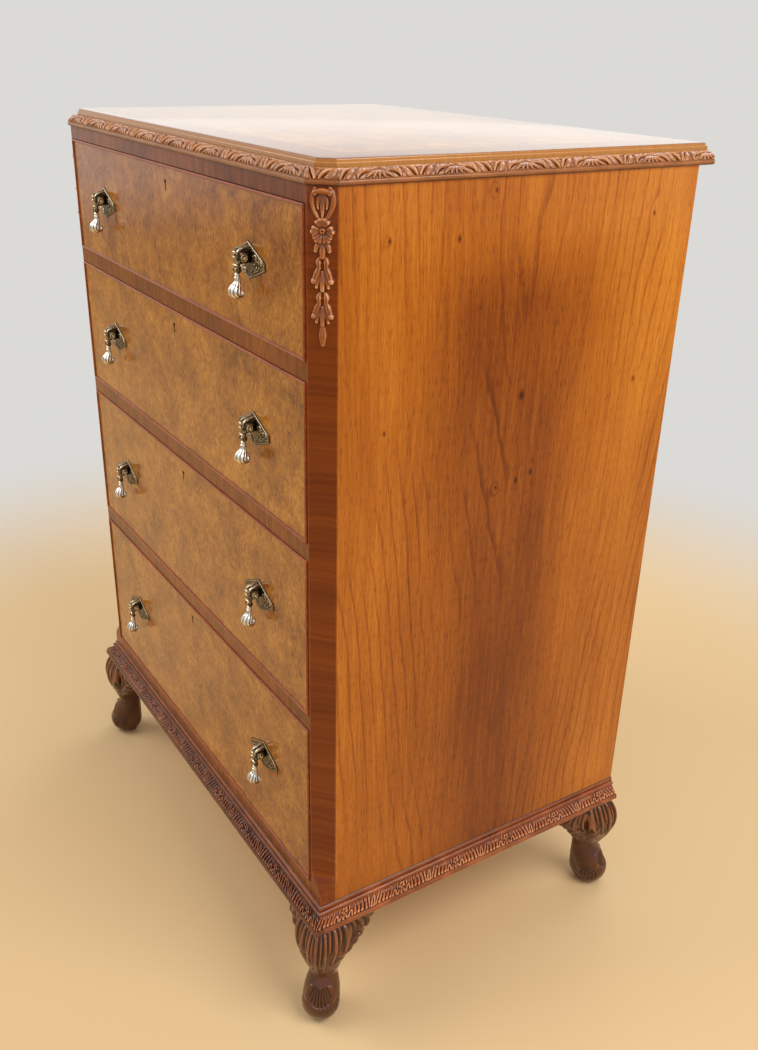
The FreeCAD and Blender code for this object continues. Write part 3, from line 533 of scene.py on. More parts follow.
class Relief:
    """Heights in millimetres over a flat strip: u along it and v down it, from a corner at 0."""

    def __init__(self, length, depth, step, ground=0.0, start=0.0):
        self.step, self.start = step, start
        self.u, self.v = np.meshgrid(np.arange(start, length + step, step),
                                     np.arange(0, depth + step, step), indexing="ij")
        self.height = np.full(self.u.shape, float(ground))

    def near(self, points):
        """For each cell the share along a curve and the distance from it."""
        curve = bezier(points)
        far = (self.u[..., None] - curve[:, 0]) ** 2 + (self.v[..., None] - curve[:, 1]) ** 2
        return far.argmin(-1) / (len(curve) - 1), np.sqrt(far.min(-1))

    def leaf(self, points, widths, heights, vein=0.0, over=False, ribs=0):
        """A rounded leaf along a curve: half widths and crest heights at root, middle and tip."""
        share, far = self.near(points)
        half = np.interp(share, (0, 0.5, 1), widths)
        across = np.clip(far / half, 0, 1)
        crest = np.interp(share, (0, 0.5, 1), heights)
        shape = crest * np.sqrt(1 - across ** 2)
        if vein:
            shape = shape - vein * np.exp(-(across / 0.2) ** 2)
        if ribs:
            shape = shape - 0.25 * np.abs(np.sin(across * math.pi * ribs)) * (across < 1)
        inside = far < half
        merged = shape if over else np.maximum(self.height, shape)
        self.height = np.where(inside, merged, self.height)

    def pair(self, points, widths, heights, vein=0.0):
        """A leaf and its mirror image about u = 0."""
        for side in (-1, 1):
            self.leaf([(side * u, v) for u, v in points], widths, heights, vein)

    def gouge(self, points, widths, depth):
        """A V-shaped cut along a curve."""
        share, far = self.near(points)
        half = np.interp(share, (0, 0.5, 1), widths)
        self.height = self.height - depth * np.clip(1 - far / half, 0, 1)

    def bead(self, u, v, radius, height, pit=0.0):
        """A round bead, with a pit in its middle."""
        far = np.hypot(self.u - u, self.v - v) / radius
        shape = height * np.sqrt(np.clip(1 - far ** 2, 0, 1)) - pit * np.exp(-(far / 0.35) ** 2)
        self.height = np.where(far < 1, np.maximum(self.height, shape), self.height)

    def soften(self, rounds=1):
        for _ in range(rounds):
            self.height = blurred(self.height)

    def wear(self, radius=1.6, contrast=0.55):
        """Ridges above 0.5 and hollows below it: on the carved wood painted highlight on the ridges
        and painted shade in the hollows, with rubbed wear; on the brass, rubbed ridges and dark
        wax.
        """
        smooth = self.height
        for _ in range(int((radius / self.step) ** 2)):
            smooth = blurred(smooth)
        return np.clip(0.5 + contrast * (self.height - smooth), 0, 1)

    def sample(self, field, u, v):
        """A field's values at any places, between its cells."""
        column = np.clip((u - self.start) / self.step, 0, self.u.shape[0] - 1.001)
        row = np.clip(v / self.step, 0, self.u.shape[1] - 1.001)
        i, j = column.astype(int), row.astype(int)
        s, t = column - i, row - j
        return ((1 - s) * (1 - t) * field[i, j] + s * (1 - t) * field[i + 1, j]
                + (1 - s) * t * field[i, j + 1] + s * t * field[i + 1, j + 1])


def blurred(field):
    """Each cell with its four neighbours; the edges are mirrored."""
    wide = np.pad(field, 1, mode="edge")
    return (2 * field + wide[:-2, 1:-1] + wide[2:, 1:-1] + wide[1:-1, :-2] + wide[1:-1, 2:]) / 6


def folded(along, period):
    """Distance from the nearest motif's middle, for motifs that are mirrored about it."""
    return np.abs((along + period / 2) % period - period / 2)


# ---------------------------------------------------------------- carved mouldings

def offset_corners(path, distance):
    """An open path moved outwards with mitred corners and square ends, for each distance."""
    path = np.asarray(path, float)
    along = unit(np.diff(path, axis=0))
    normal = np.stack([along[:, 1], -along[:, 0]], -1)
    first = np.vstack([normal[:1], normal])
    second = np.vstack([normal, normal[-1:]])
    share = 1 / (1 + (first * second).sum(1))
    return path[:, None, :] + distance[None, :, None] * ((first + second) * share[:, None])[:, None]


def profile_normals(profile):
    """Outward unit normals along an open line of (out, up) points that runs downwards."""
    slope = unit(np.gradient(profile, axis=0))
    return np.stack([-slope[:, 1], slope[:, 0]], -1)


MOULDING_STEP = 0.6
CREASE = 1.8                    # a moulding is darkened within this of its first and last edge: painted shade in the creases, with dark stain
CREASE_DARK = 0.45              # how far the wear falls there, from the plain 0.5, for that painted shade and stain


def lengths_along(line):
    """The length of a line of points up to each of them."""
    return np.concatenate([[0], np.cumsum(np.linalg.norm(np.diff(line, axis=0), axis=1))])


def carved_run(shell, path, index, face, level, band, relief, wear, phase, period):
    """One mitred length of a carved moulding, as a closed solid.

    Face is the shown profile from the top down and the hidden corners behind it, both in
    (out, up). The carving lies between the two lengths of the profile in band.
    """
    profile, hidden = (np.asarray(line, float) for line in face)
    length = lengths_along(profile)
    normals = profile_normals(profile)
    run = np.linalg.norm(np.subtract(path[index + 1], path[index]))
    stations = np.linspace(0, 1, int(run / MOULDING_STEP) + 2)
    u = folded(stations[:, None] * run - phase + 0 * length, period)
    v = length[None, :] - band[0]
    inside = (v > 0) & (v < band[1] - band[0])
    lift = np.where(inside, relief.sample(relief.height, u, v), 0.0)
    # Darkening along the mouldings' upper and lower edges: painted shade in the creases, with dark
    # stain.
    crease = np.clip(1 - np.minimum(length, length[-1] - length) / CREASE, 0, 1)
    worn_and_shaded = np.where(inside, relief.sample(wear, u, v), 0.5 - CREASE_DARK * crease)
    lines = profile + (0, level) + lift[..., None] * normals
    lines = np.hstack([lines, np.repeat((hidden + (0, level))[None], len(stations), 0)])
    worn_and_shaded = np.hstack([worn_and_shaded, np.full((len(stations), len(hidden)), 0.5)])
    ends = offset_corners(path, lines[..., 0].ravel())[index:index + 2]
    share = np.repeat(stations, lines.shape[1])[:, None]
    plan = ends[0] * (1 - share) + ends[1] * share
    points = np.hstack([plan, lines[..., 1].reshape(-1, 1)])
    shell.add(*loft(points.reshape(len(stations), -1, 3)), wear=worn_and_shaded.ravel())


def make_moulding(node, slot, material, path, level, face, band, relief, runs):
    """Runs are (piece's name, (index, phase, period) of each of its mitred lengths)."""
    # Painted shade in the carving's hollows and painted highlight on its ridges, with rubbed wear.
    worn_and_shaded = relief.wear()
    for name, lengths in runs:
        shell = Shell()
        for index, phase, period in lengths:
            carved_run(shell, path, index, face, level, band, relief, worn_and_shaded, phase, period)
        shell.piece("%s_%s_carved" % (node, name), material, "carcass", node, slot, sharp=50)


def arc(start, middle, end, count):
    """Points of the circle through three points, from start to end."""
    (ax, ay), (bx, by), (cx, cy) = start, middle, end
    d = 2 * (ax * (by - cy) + bx * (cy - ay) + cx * (ay - by))
    a2, b2, c2 = ax * ax + ay * ay, bx * bx + by * by, cx * cx + cy * cy
    x = (a2 * (by - cy) + b2 * (cy - ay) + c2 * (ay - by)) / d
    y = (a2 * (cx - bx) + b2 * (ax - cx) + c2 * (bx - ax)) / d
    first, half, last = (math.atan2(p[1] - y, p[0] - x) for p in (start, middle, end))
    turn = (last - first) % (2 * math.pi)
    if (half - first) % (2 * math.pi) > turn:
        turn -= 2 * math.pi
    angles = first + turn * np.linspace(0, 1, count)
    radius = math.hypot(ax - x, ay - y)
    return np.stack([x + radius * np.cos(angles), y + radius * np.sin(angles)], -1)


def joined(*lines):
    """Lines of points end to end, without the doubled ends."""
    parts = [lines[0]]
    for line in lines[1:]:
        parts.append(line[1:] if np.allclose(line[0], parts[-1][-1]) else line)
    return np.concatenate(parts)


# ---------------------------------------------------------------- top moulding

TOP_LENGTHS = {"reach": 3.4, "inset": 11.0, "height": 15.5, "fillet": 5.0}
TOP_BAND_HEIGHT = 17.4          # carved height along the curve of the ovolo
TOP_BAND = 3.0                  # the carving starts here along the profile
TOP_FRONT_PERIOD, TOP_SIDE_PERIOD = 92.0, 91.2
TOP_SIDE_PHASE = 44.5           # a motif's middle behind the front of the side run
TOP_GROUND = -2.0               # carved ground below the moulding's face
BLEND = 0.7                     # how soon the carving starts at the edges of its band


def edged(relief, depth, ground):
    """Brings the carving back to the moulding's face at both edges of its band."""
    edge = np.minimum(relief.v, depth - relief.v)
    share = np.clip(edge / BLEND, 0, 1)
    relief.height = (relief.height + ground) * share


def top_relief():
    """Half a motif: petals over a fan at u = 0, a curled leaf, a smooth leaf, a dart at the end."""
    half = max(TOP_FRONT_PERIOD, TOP_SIDE_PERIOD) / 2
    relief = Relief(half, TOP_BAND_HEIGHT, 0.3)
    relief.leaf([(27.0, 1.0), (31.0, 6.0), (35.0, 15.6)], (1.6, 3.6, 3.2), (1.6, 1.7, 1.5))
    relief.leaf([(9.0, 3.6), (21.5, 0.8), (24.5, 15.0)], (2.6, 5.8, 1.4), (1.8, 2.7, 2.3), ribs=3)
    relief.leaf([(30.5, 0.6), (40.0, 2.6), (44.0, 16.2)], (1.5, 2.9, 1.1), (1.7, 2.6, 2.2))
    for curve, widths in (([(2.6, 7.0), (8.0, 9.4), (14.2, 15.0)], (1.2, 2.7, 1.1)),
                          ([(1.3, 7.0), (4.0, 10.4), (6.8, 15.8)], (1.2, 2.3, 1.3)),
                          ([(0.0, 6.6), (0.0, 10.4), (0.0, 16.0)], (1.3, 2.2, 1.3))):
        relief.leaf(curve, widths, (1.4, 2.3, 2.1), vein=0.5)
    relief.leaf([(1.2, 0.6), (5.0, 2.4), (8.4, 5.4)], (2.2, 2.9, 1.1), (1.9, 2.5, 2.0), over=True)
    for curve, widths, depth in (
            ([(0.0, 4.4), (5.0, 7.6), (9.6, 6.8)], (0.6, 1.0, 0.5), 1.9),
            ([(8.8, 8.0), (17.5, 6.4), (23.6, 16.0)], (0.6, 1.5, 0.6), 2.5),
            ([(27.8, 1.2), (37.5, 3.4), (41.2, 16.0)], (0.7, 1.6, 0.7), 2.6),
            ([(half, 0.8), (half, 8.0), (half, 16.0)], (1.9, 1.9, 0.5), 2.2),
            ([(16.0, 0.6), (19.5, 3.0), (20.8, 9.5)], (0.5, 0.7, 0.4), 0.9),
            ([(35.5, 0.6), (41.8, 3.6), (44.0, 12.0)], (0.4, 0.7, 0.3), 0.9)):
        relief.gouge(curve, widths, depth)
    edged(relief, TOP_BAND_HEIGHT, TOP_GROUND)
    relief.soften(2)
    return relief


def canted_path(back):
    """The carcass's plan from the back left round the front to the back right."""
    side = half_width
    return [(-side, back), (-side, front_y + cant_leg), (cant_leg - side, front_y),
            (side - cant_leg, front_y), (side, front_y + cant_leg), (side, back)]


def top_profile():
    """A quirk against the board, the ovolo that is carved, and a plain bead below it."""
    reach, inset = TOP_LENGTHS["reach"], TOP_LENGTHS["inset"]
    height, fillet = TOP_LENGTHS["height"], TOP_LENGTHS["fillet"]
    angles = np.linspace(0.1, 1.5, 30)
    ovolo = np.stack([-inset + (reach + inset) * np.sin(angles),
                      fillet + (height - fillet) * np.cos(angles)], -1)
    quirk = [(-inset, height - 1.6), (0.9 - inset, height - 1.6), ovolo[0]]
    bead = arc((reach - 0.5, fillet + 0.1), (reach, fillet * 0.55), (reach - 1.4, 0.5), 8)
    foot = [ovolo[-1], (reach - 1.1, fillet + 0.3), bead[0]]
    profile = joined(np.array(quirk), ovolo, np.array(foot), bead)
    return profile, [(reach - 2.2, 0), (-inset, 0)]


def make_top_moulding(material):
    back = board_high[1]
    path = canted_path(back)
    run_front = path[3][0] - path[2][0]
    front_phase = run_front / 2 + TOP_FRONT_PERIOD / 2
    cant_phase = (run_front - front_phase) % TOP_FRONT_PERIOD
    front = [(1, cant_leg / SLANT + cant_phase, TOP_FRONT_PERIOD),
             (2, front_phase, TOP_FRONT_PERIOD), (3, -cant_phase, TOP_FRONT_PERIOD)]
    runs = [("left", [(0, back - path[1][1] - TOP_SIDE_PHASE, TOP_SIDE_PERIOD)]),
            ("front", front), ("right", [(4, TOP_SIDE_PHASE, TOP_SIDE_PERIOD)])]
    make_moulding("top_moulding", "carved_top_walnut", material, path, carcass_top, top_profile(),
                  (TOP_BAND, TOP_BAND + TOP_BAND_HEIGHT), top_relief(), runs)


# ---------------------------------------------------------------- base moulding

BASE_REACH = 17.2
BASE_HEIGHT = 33.0
BASE_PERIOD = 2 * (half_width + BASE_REACH) / 9
BASE_SIDE_ROSETTE = 392.5       # a rosette's middle behind the front of the side run
BASE_BAND_HEIGHT = 15.4
BASE_COVE_POINT = 22            # the profile's point where the carved cove starts
BASE_GROUND = -0.4


def base_relief():
    """Half a motif: a rosette over a fan at u = 0, upright fingers, and leaves to a dart."""
    half = BASE_PERIOD / 2
    relief = Relief(half, BASE_BAND_HEIGHT, 0.3)
    for u, lean in ((16.4, -0.6), (21.8, -0.2), (27.2, 0.6)):
        relief.leaf([(u - 0.6, 3.4), (u + lean, 7.6), (u + 0.8, 12.2)], (1.1, 2.2, 2.8),
                    (0.6, 2.4, 4.1))
        relief.leaf([(u + 2.2, 1.0), (u + 3.0, 3.0), (u + 2.4, 5.2)], (0.7, 1.2, 0.8),
                    (1.0, 2.2, 1.6))
    relief.leaf([(31.8, 2.4), (33.0, 7.6), (34.6, 12.6)], (1.1, 2.3, 2.6), (0.9, 2.8, 3.9))
    relief.leaf([(35.8, 0.8), (37.0, 5.5), (39.4, 12.8)], (1.0, 1.9, 2.0), (1.4, 2.8, 3.4))
    relief.leaf([(half, 1.6), (half - 3.4, 7.5), (half - 1.6, 13.4)], (0.8, 1.6, 2.3),
                (2.0, 2.8, 3.8))
    relief.gouge([(half, 6.0), (half, 10.0), (half, 14.6)], (0.6, 1.0, 0.6), 1.8)
    relief.leaf([(7.8, 13.2), (10.4, 2.4), (13.4, 12.8)], (1.9, 1.5, 2.0), (3.2, 2.6, 3.4))
    relief.leaf([(1.6, 9.4), (4.0, 11.2), (5.6, 13.6)], (1.2, 2.1, 1.7), (1.6, 2.9, 3.2), vein=0.5)
    relief.leaf([(0.0, 9.0), (0.0, 11.4), (0.0, 14.0)], (1.2, 2.2, 1.8), (1.8, 3.0, 3.2), vein=0.5)
    for turn in range(5):
        angle = 2 * math.pi * turn / 5 - math.pi / 2 + math.pi / 5
        relief.bead(3.2 * math.cos(angle), 4.9 + 3.0 * math.sin(angle), 2.2, 2.9, pit=0.5)
    relief.bead(0.0, 4.9, 1.6, 2.2, pit=2.2)
    relief.leaf([(6.4, 1.6), (8.2, 3.6), (6.8, 7.8)], (0.9, 1.3, 0.8), (1.4, 2.2, 1.5))
    edged(relief, BASE_BAND_HEIGHT, BASE_GROUND)
    relief.soften(2)
    return relief


def base_profile():
    """Two reeds, the carved cove and a rounded nose, hung from the carcass's lower edge."""
    reed = arc((0.2, 0), (2.6, -3.0), (1.6, -5.8), 10)
    bead = arc((1.6, -6.2), (6.2, -8.6), (5.2, -11.0), 12)
    cove = arc((5.0, -11.6), (9.4, -18.2), (15.4, -22.8), 30)
    nose = arc((15.6, -23.6), (BASE_REACH, -26.6), (14.6, -32.4), 14)
    profile = joined(reed, bead, cove, nose)
    return profile, [(13.6, -BASE_HEIGHT), (0, -BASE_HEIGHT)]


def make_base_moulding(material):
    face = base_profile()
    band = lengths_along(face[0])[BASE_COVE_POINT] + 0.3
    path = [(-half_width, back_y), (-half_width, front_y), (half_width, front_y),
            (half_width, back_y)]
    phases = (back_y - front_y - BASE_SIDE_ROSETTE, half_width, BASE_SIDE_ROSETTE)
    runs = [(name, [(index, phases[index], BASE_PERIOD)])
            for index, name in enumerate(("left", "front", "right"))]
    make_moulding("base_moulding", "carved_base_walnut", material, path, base_z, face,
                  (band, band + BASE_BAND_HEIGHT), base_relief(), runs)


# ---------------------------------------------------------------- top board

def canted_ring(inset, level, back_inset=0.0):
    """The top board's outline, moved inwards, at one height."""
    corners = offset_corners(canted_path(board_high[1] - back_inset), np.array([-inset]))[:, 0]
    return np.hstack([corners, np.full((len(corners), 1), level)])


def make_top_board(material):
    """The board with a small step in its rounded edge."""
    surface, inset = board_high[2], TOP_LENGTHS["inset"]
    crown = [(inset + 1.9 + 1.9 * (1 - math.cos(a)), surface - 1.9 * (1 - math.sin(a)))
             for a in np.linspace(0, math.pi / 2, 6)]
    step = [(inset + 0.9 * (1 - math.cos(a)), surface - 4.4 + 0.9 * math.sin(a))
            for a in np.linspace(0, math.pi / 2, 5)]
    edge = [(inset, carcass_top), (inset, surface - 5.4)] + step + [(inset + 1.9, surface - 3.4)]
    rings = [canted_ring(place, level, place - inset) for place, level in edge + crown]
    shell = Shell()
    shell.add(*loft(rings))
    shell.piece("top_board_dressed", material, "carcass", "top_board", "top_burr_walnut", sharp=30)


# ---------------------------------------------------------------- carved wood

def carved_wood(name, tones, axis, coat_roughness=0.11, front_shade=0.0):
    """Stained and polished solid walnut: dark in the hollows from painted shade and dark wax,
    lighter on the ridges from painted highlight and rubbed wear.
    """
    shader = material_shader(name)
    wear = shader.wear()
    # The front run is darkened: painted shade.
    if front_shade:
        ahead = shader.between(shader.split()[1], (front_y - 2) * MM, (front_y - 5) * MM)
        wear = shader.add(wear, shader.times(ahead, -front_shade))
    fine = shader.noise(shader.grained(axis, 1000 / 1.2, 1000 / 26), roughness=0.65)
    patch = shader.noise(shader.position, scale=38.0)
    tone = shader.toned(wear, ((patch, 0.45), (fine, 0.35)))
    rough = shader.between(wear, 0.3, 0.6, 0.5, 0.3)
    return shader.surface(shader.ramp(tone, (0.12, 0.46, 0.66, 0.95), tones), rough,
                          shader.bump(fine, 0.05, 0.3), coat=0.7, coat_roughness=coat_roughness,
                          specular=0.35)


make_top_moulding(carved_wood("walnut_carved_top", (
    (62, 28, 12), (142, 84, 40), (176, 112, 60), (214, 156, 100)), 1))
# The base's tones are a little darker than the top moulding's: painted shade, low on the chest.
make_base_moulding(carved_wood("walnut_carved_base", (
    (46, 17, 7), (128, 62, 26), (176, 98, 50), (226, 164, 116)), 1, front_shade=0.22))
make_top_board(top_face("walnut_top_burr"))


# ---------------------------------------------------------------- legs
# A leg is drawn with the carcass's corner at x = y = 0 and outwards along +x and +y, on the floor.

LEG_TOP = 160.0
FOOT_REACH = box_mm("leg_front_right")[1][0] - half_width       # of the ball beyond the corner
# Height, middle outwards from the carcass faces, side of the square, roundness of its corners.
LEG_SECTIONS = [(0.0, -8.0, 19.5, 0.93), (18.0, -11.0, 32.0, 0.93), (40.0, -11.0, 36.0, 0.93),
                (68.0, -11.2, 35.0, 0.93), (88.0, -6.4, 43.0, 0.7), (108.0, -5.3, 53.0, 0.55),
                (127.0, -5.8, 57.5, 0.4), (143.0, -8.4, 57.5, 0.32), (160.0, -13.4, 54.0, 0.25)]
FOOT_RADIUS, FOOT_WIDTH, FOOT_SET, FOOT_LIFT = 26.0, 50.0, -1.1, 25.4
# The instep, from the ankle down: middle outwards from the carcass faces, height, radius.
INSTEP = [(-11.4, 72.0, 17.4), (-9.8, 62.0, 19.8), (-7.8, 53.0, 22.6), (-5.6, 45.0, 24.6),
          (-3.4, 36.0, 25.6)]
LEG_VOXEL = 1.0
RING_POINTS = 72
# The fluted disc on the front of the foot: how far it looks up and to the side, its radius, and
# the middle of the ball that it lies on.
DISC_TILT, DISC_TURN, DISC_RADIUS = 36.0, 9.0, 16.4
DISC_SET, DISC_LIFT = -3.4, 33.0
DISC_GROUND, FLUTE_HEIGHT, FLUTE_TURNS = -3.6, 2.4, 27.0
FLUTE_CENTRE = 34.0             # the flutes fan out from this far above the disc's middle
VOLUTE_RADIUS, VOLUTE_PITCH, VOLUTE_DEPTH = 15.5, 5.2, 1.6
VOLUTE_TOP, FOOT_TOP = 52.0, 60.0       # the volutes and the foot end at these heights
EAR_INNER, EAR_OUTER, EAR_ROOT = -14.0, 10.6, -15.0
LOBE_THICK = 9.0


def smooth_curve(places, values, at):
    """A cubic through the values, for any places."""
    places, values = np.asarray(places, float), np.asarray(values, float)
    slope = np.gradient(values, places)
    index = np.clip(np.searchsorted(places, at) - 1, 0, len(places) - 2)
    span = places[index + 1] - places[index]
    t = (at - places[index]) / span
    bend = (t ** 3 - 2 * t ** 2 + t) * slope[index] + (t ** 3 - t ** 2) * slope[index + 1]
    return ((2 * t ** 3 - 3 * t ** 2 + 1) * values[index]
            + (3 * t ** 2 - 2 * t ** 3) * values[index + 1] + span * bend)


def rounded_square(middle, side, roundness, height):
    """A ring: a square with rounded corners."""
    angles = full_turn(RING_POINTS) + math.pi / RING_POINTS
    power = 2 + 10 * (1 - roundness) ** 1.3
    x, y = np.cos(angles), np.sin(angles)
    size = side / 2 / (np.abs(x) ** power + np.abs(y) ** power) ** (1 / power)
    return np.stack([middle + x * size, middle + y * size, np.full(RING_POINTS, height)], -1)


def leg_shank():
    sections = np.array(LEG_SECTIONS)
    heights = np.linspace(1.0, LEG_TOP, 90)
    values = [smooth_curve(sections[:, 0], sections[:, column], heights) for column in (1, 2, 3)]
    return loft([rounded_square(*row) for row in zip(*values, heights)])


def leg_foot():
    """The ball across the diagonal, flattened at its two ends."""
    angles, rings = full_turn(RING_POINTS), []
    for across in np.linspace(-FOOT_WIDTH / 2, FOOT_WIDTH / 2, 40):
        radius = math.sqrt(FOOT_RADIUS ** 2 - across * across)
        out = radius * np.cos(angles)
        rings.append(np.stack([FOOT_SET + (across + out) * SLANT,
                               FOOT_SET + (out - across) * SLANT,
                               FOOT_LIFT + radius * np.sin(angles)], -1))
    return loft(rings)


def ellipsoid(centre, axes, around=32, rows=16):
    """Axes are three vectors from the middle to the skin."""
    turn, rings = full_turn(around), []
    for tilt in np.linspace(-math.pi / 2 + 0.02, math.pi / 2 - 0.02, rows):
        sphere = np.stack([math.cos(tilt) * np.cos(turn), math.cos(tilt) * np.sin(turn),
                           np.full(around, math.sin(tilt))], -1)
        rings.append(np.asarray(centre) + sphere @ np.asarray(axes, float))
    return loft(rings)


def leg_instep():
    """Rounded bodies that carry the ankle down into the foot without a waist between them."""
    rows = np.array(INSTEP)
    at = np.linspace(0, len(rows) - 1, 2 * len(rows) - 1)
    middles, heights, radii = (np.interp(at, np.arange(len(rows)), column) for column in rows.T)
    return [ellipsoid((middle, middle, height), np.eye(3) * radius)
            for middle, height, radius in zip(middles, heights, radii)]


# Leaf lobes along an ear's edge: back from the corner, height, half length, half width, tilt in
# degrees and how far out they stand.
EAR_LOBES = [(-70.0, 149.5, 15.0, 10.0, -14, 9.5), (-64.0, 137.0, 11.5, 8.0, 18, 11.0),
             (-55.5, 124.5, 10.5, 7.5, 30, 12.5), (-49.0, 113.5, 8.0, 6.5, 52, 13.0),
             (-38.0, 106.0, 11.0, 8.0, 38, 14.0), (-25.0, 98.0, 13.0, 9.0, 40, 14.5)]


def ear(swap):
    """The core of an ear and the lobes of its scalloped edge. Swap puts it on the other side."""
    outline = [(EAR_ROOT, 96), (-36, 110), (-49, 122), (-62, 138), (-76, 149), (-80, LEG_TOP),
               (EAR_ROOT, LEG_TOP)]
    rings = [[(x, y, z) for y, z in outline] for x in (EAR_INNER, EAR_OUTER)]
    skins = [loft(rings)]
    for back, height, length, width, tilt, out in EAR_LOBES:
        turn = math.radians(tilt)
        along = np.array([0, -math.cos(turn), math.sin(turn)])
        beside = np.array([0, math.sin(turn), math.cos(turn)])
        axes = [along * length, beside * width, (LOBE_THICK, 0, 0)]
        skins.append(ellipsoid((out - LOBE_THICK, back, height), axes))
    if swap:
        skins = [(points[:, [1, 0, 2]], faces) for points, faces in skins]
    return skins


def remeshed(shell, voxel):
    """One skin round overlapping shells, as points and faces in millimetres."""
    mesh = bpy.data.meshes.new("scratch")
    mesh.from_pydata((np.concatenate(shell.points) * MM).tolist(), [], shell.faces)
    holder = added("scratch", mesh)
    change = holder.modifiers.new("skin", "REMESH")
    change.mode = "VOXEL"
    change.voxel_size = voxel * MM
    graph = bpy.context.evaluated_depsgraph_get()
    made = holder.evaluated_get(graph).to_mesh()
    points = np.zeros(len(made.vertices) * 3)
    made.vertices.foreach_get("co", points)
    corners = np.zeros(len(made.loops), np.int64)
    made.loops.foreach_get("vertex_index", corners)
    holder.evaluated_get(graph).to_mesh_clear()
    bpy.data.objects.remove(holder)
    bpy.data.meshes.remove(mesh)
    return points.reshape(-1, 3) / MM, corners.reshape(-1, 4)


def relaxed(points, quads, rounds, share=0.5):
    """Each point moved towards its neighbours' middle."""
    edges = np.concatenate([quads[:, [0, 1]], quads[:, [1, 2]], quads[:, [2, 3]], quads[:, [3, 0]]])
    edges = np.concatenate([edges, edges[:, ::-1]])
    count = np.bincount(edges[:, 0], minlength=len(points))[:, None]
    for _ in range(rounds):
        total = np.stack([np.bincount(edges[:, 0], points[edges[:, 1], axis], len(points))
                          for axis in range(3)], -1)
        points = points + share * (total / count - points)
    return points


def point_normals(points, quads):
    a, b, c, d = (points[column] for column in quads.T)
    face = np.cross(c - a, d - b)
    total = np.stack([np.bincount(quads.ravel(), np.repeat(face[:, axis], 4), len(points))
                      for axis in range(3)], -1)
    return unit(total)


def knee_relief():
    """Half the knee: u from the corner line outwards, v down from the frame."""
    relief = Relief(72.0, 100.0, 0.6, ground=0.4)
    sweeps = [([(9.0, 46.0), (14.0, 70.0), (30.0, 50.0)], (7.0, 7.4, 4.6), 3.4),
              ([(22.0, 34.0), (34.0, 56.0), (47.0, 34.0)], (6.0, 6.4, 4.4), 3.6),
              ([(38.0, 16.0), (52.0, 38.0), (60.0, 18.0)], (5.2, 6.0, 4.2), 3.6)]
    strands = [([(48.0, 0.0), (58.0, 8.0), (59.0, 22.0)], (2.2, 3.2, 1.3), 3.2),
               ([(41.0, 0.0), (53.0, 14.0), (49.0, 32.0)], (2.1, 3.2, 1.2), 4.0),
               ([(35.4, 0.0), (44.0, 12.0), (42.0, 25.0)], (1.7, 2.4, 1.0), 2.7),
               ([(30.0, 0.0), (41.0, 20.0), (33.0, 43.0)], (2.1, 3.1, 1.2), 4.2),
               ([(24.6, 0.0), (32.0, 16.0), (28.0, 31.0)], (1.7, 2.3, 1.0), 2.8),
               ([(19.4, 0.0), (29.0, 25.0), (19.5, 52.0)], (2.0, 3.0, 1.2), 4.3),
               ([(14.4, 0.0), (20.0, 20.0), (16.0, 38.0)], (1.6, 2.2, 1.0), 2.8),
               ([(9.4, 0.0), (16.0, 28.0), (8.6, 64.0)], (2.0, 2.8, 1.1), 4.2),
               ([(5.6, 0.0), (9.6, 22.0), (6.0, 46.0)], (1.3, 1.9, 0.9), 2.8)]
    for curve, widths, height in sweeps:
        relief.leaf(curve, widths, (height * 0.5, height * 0.8, height * 0.7))
        for share, cut, depth in ((0.3, (0.5, 0.8, 0.5), 0.9), (0.75, (0.5, 0.8, 0.5), 0.9),
                                  (1.1, (0.9, 1.4, 0.9), 1.6)):
            beside = [(u, v + share * width) for (u, v), width in zip(curve, widths)]
            relief.gouge(beside, cut, depth)
    for curve, widths, height in strands:
        relief.leaf(curve, widths, (height * 0.7, height, height * 0.8), vein=0.9)
    for curve, widths, height in strands:
        relief.gouge([(u + width, v + 0.3) for (u, v), width in zip(curve, widths)],
                     (0.9, 1.3, 0.9), 2.6)
    relief.leaf([(0.0, 0.0), (0.0, 46.0), (0.0, 92.0)], (3.2, 2.9, 1.6), (3.6, 3.8, 1.4))
    relief.gouge([(4.4, 0.0), (4.4, 45.0), (2.6, 84.0)], (0.9, 1.2, 0.7), 2.2)
    for reach in (1.8, 4.0, 6.2):
        relief.gouge([(12.5 - reach, 72.0), (12.5 - reach, 74.0 + 2 * reach),
                      (12.5 + reach, 74.0 + 2 * reach), (12.5 + reach, 70.0)], (0.6, 0.9, 0.6), 1.2)
    relief.soften(2)
    return relief


KNEE_GROUND = -2.8
KNEE_FADE = (60.0, 92.0)        # the carved ground rises back to the leg's face between these
KNEE_ROOT = 5.0                 # the strands rise to their height within this of the frame


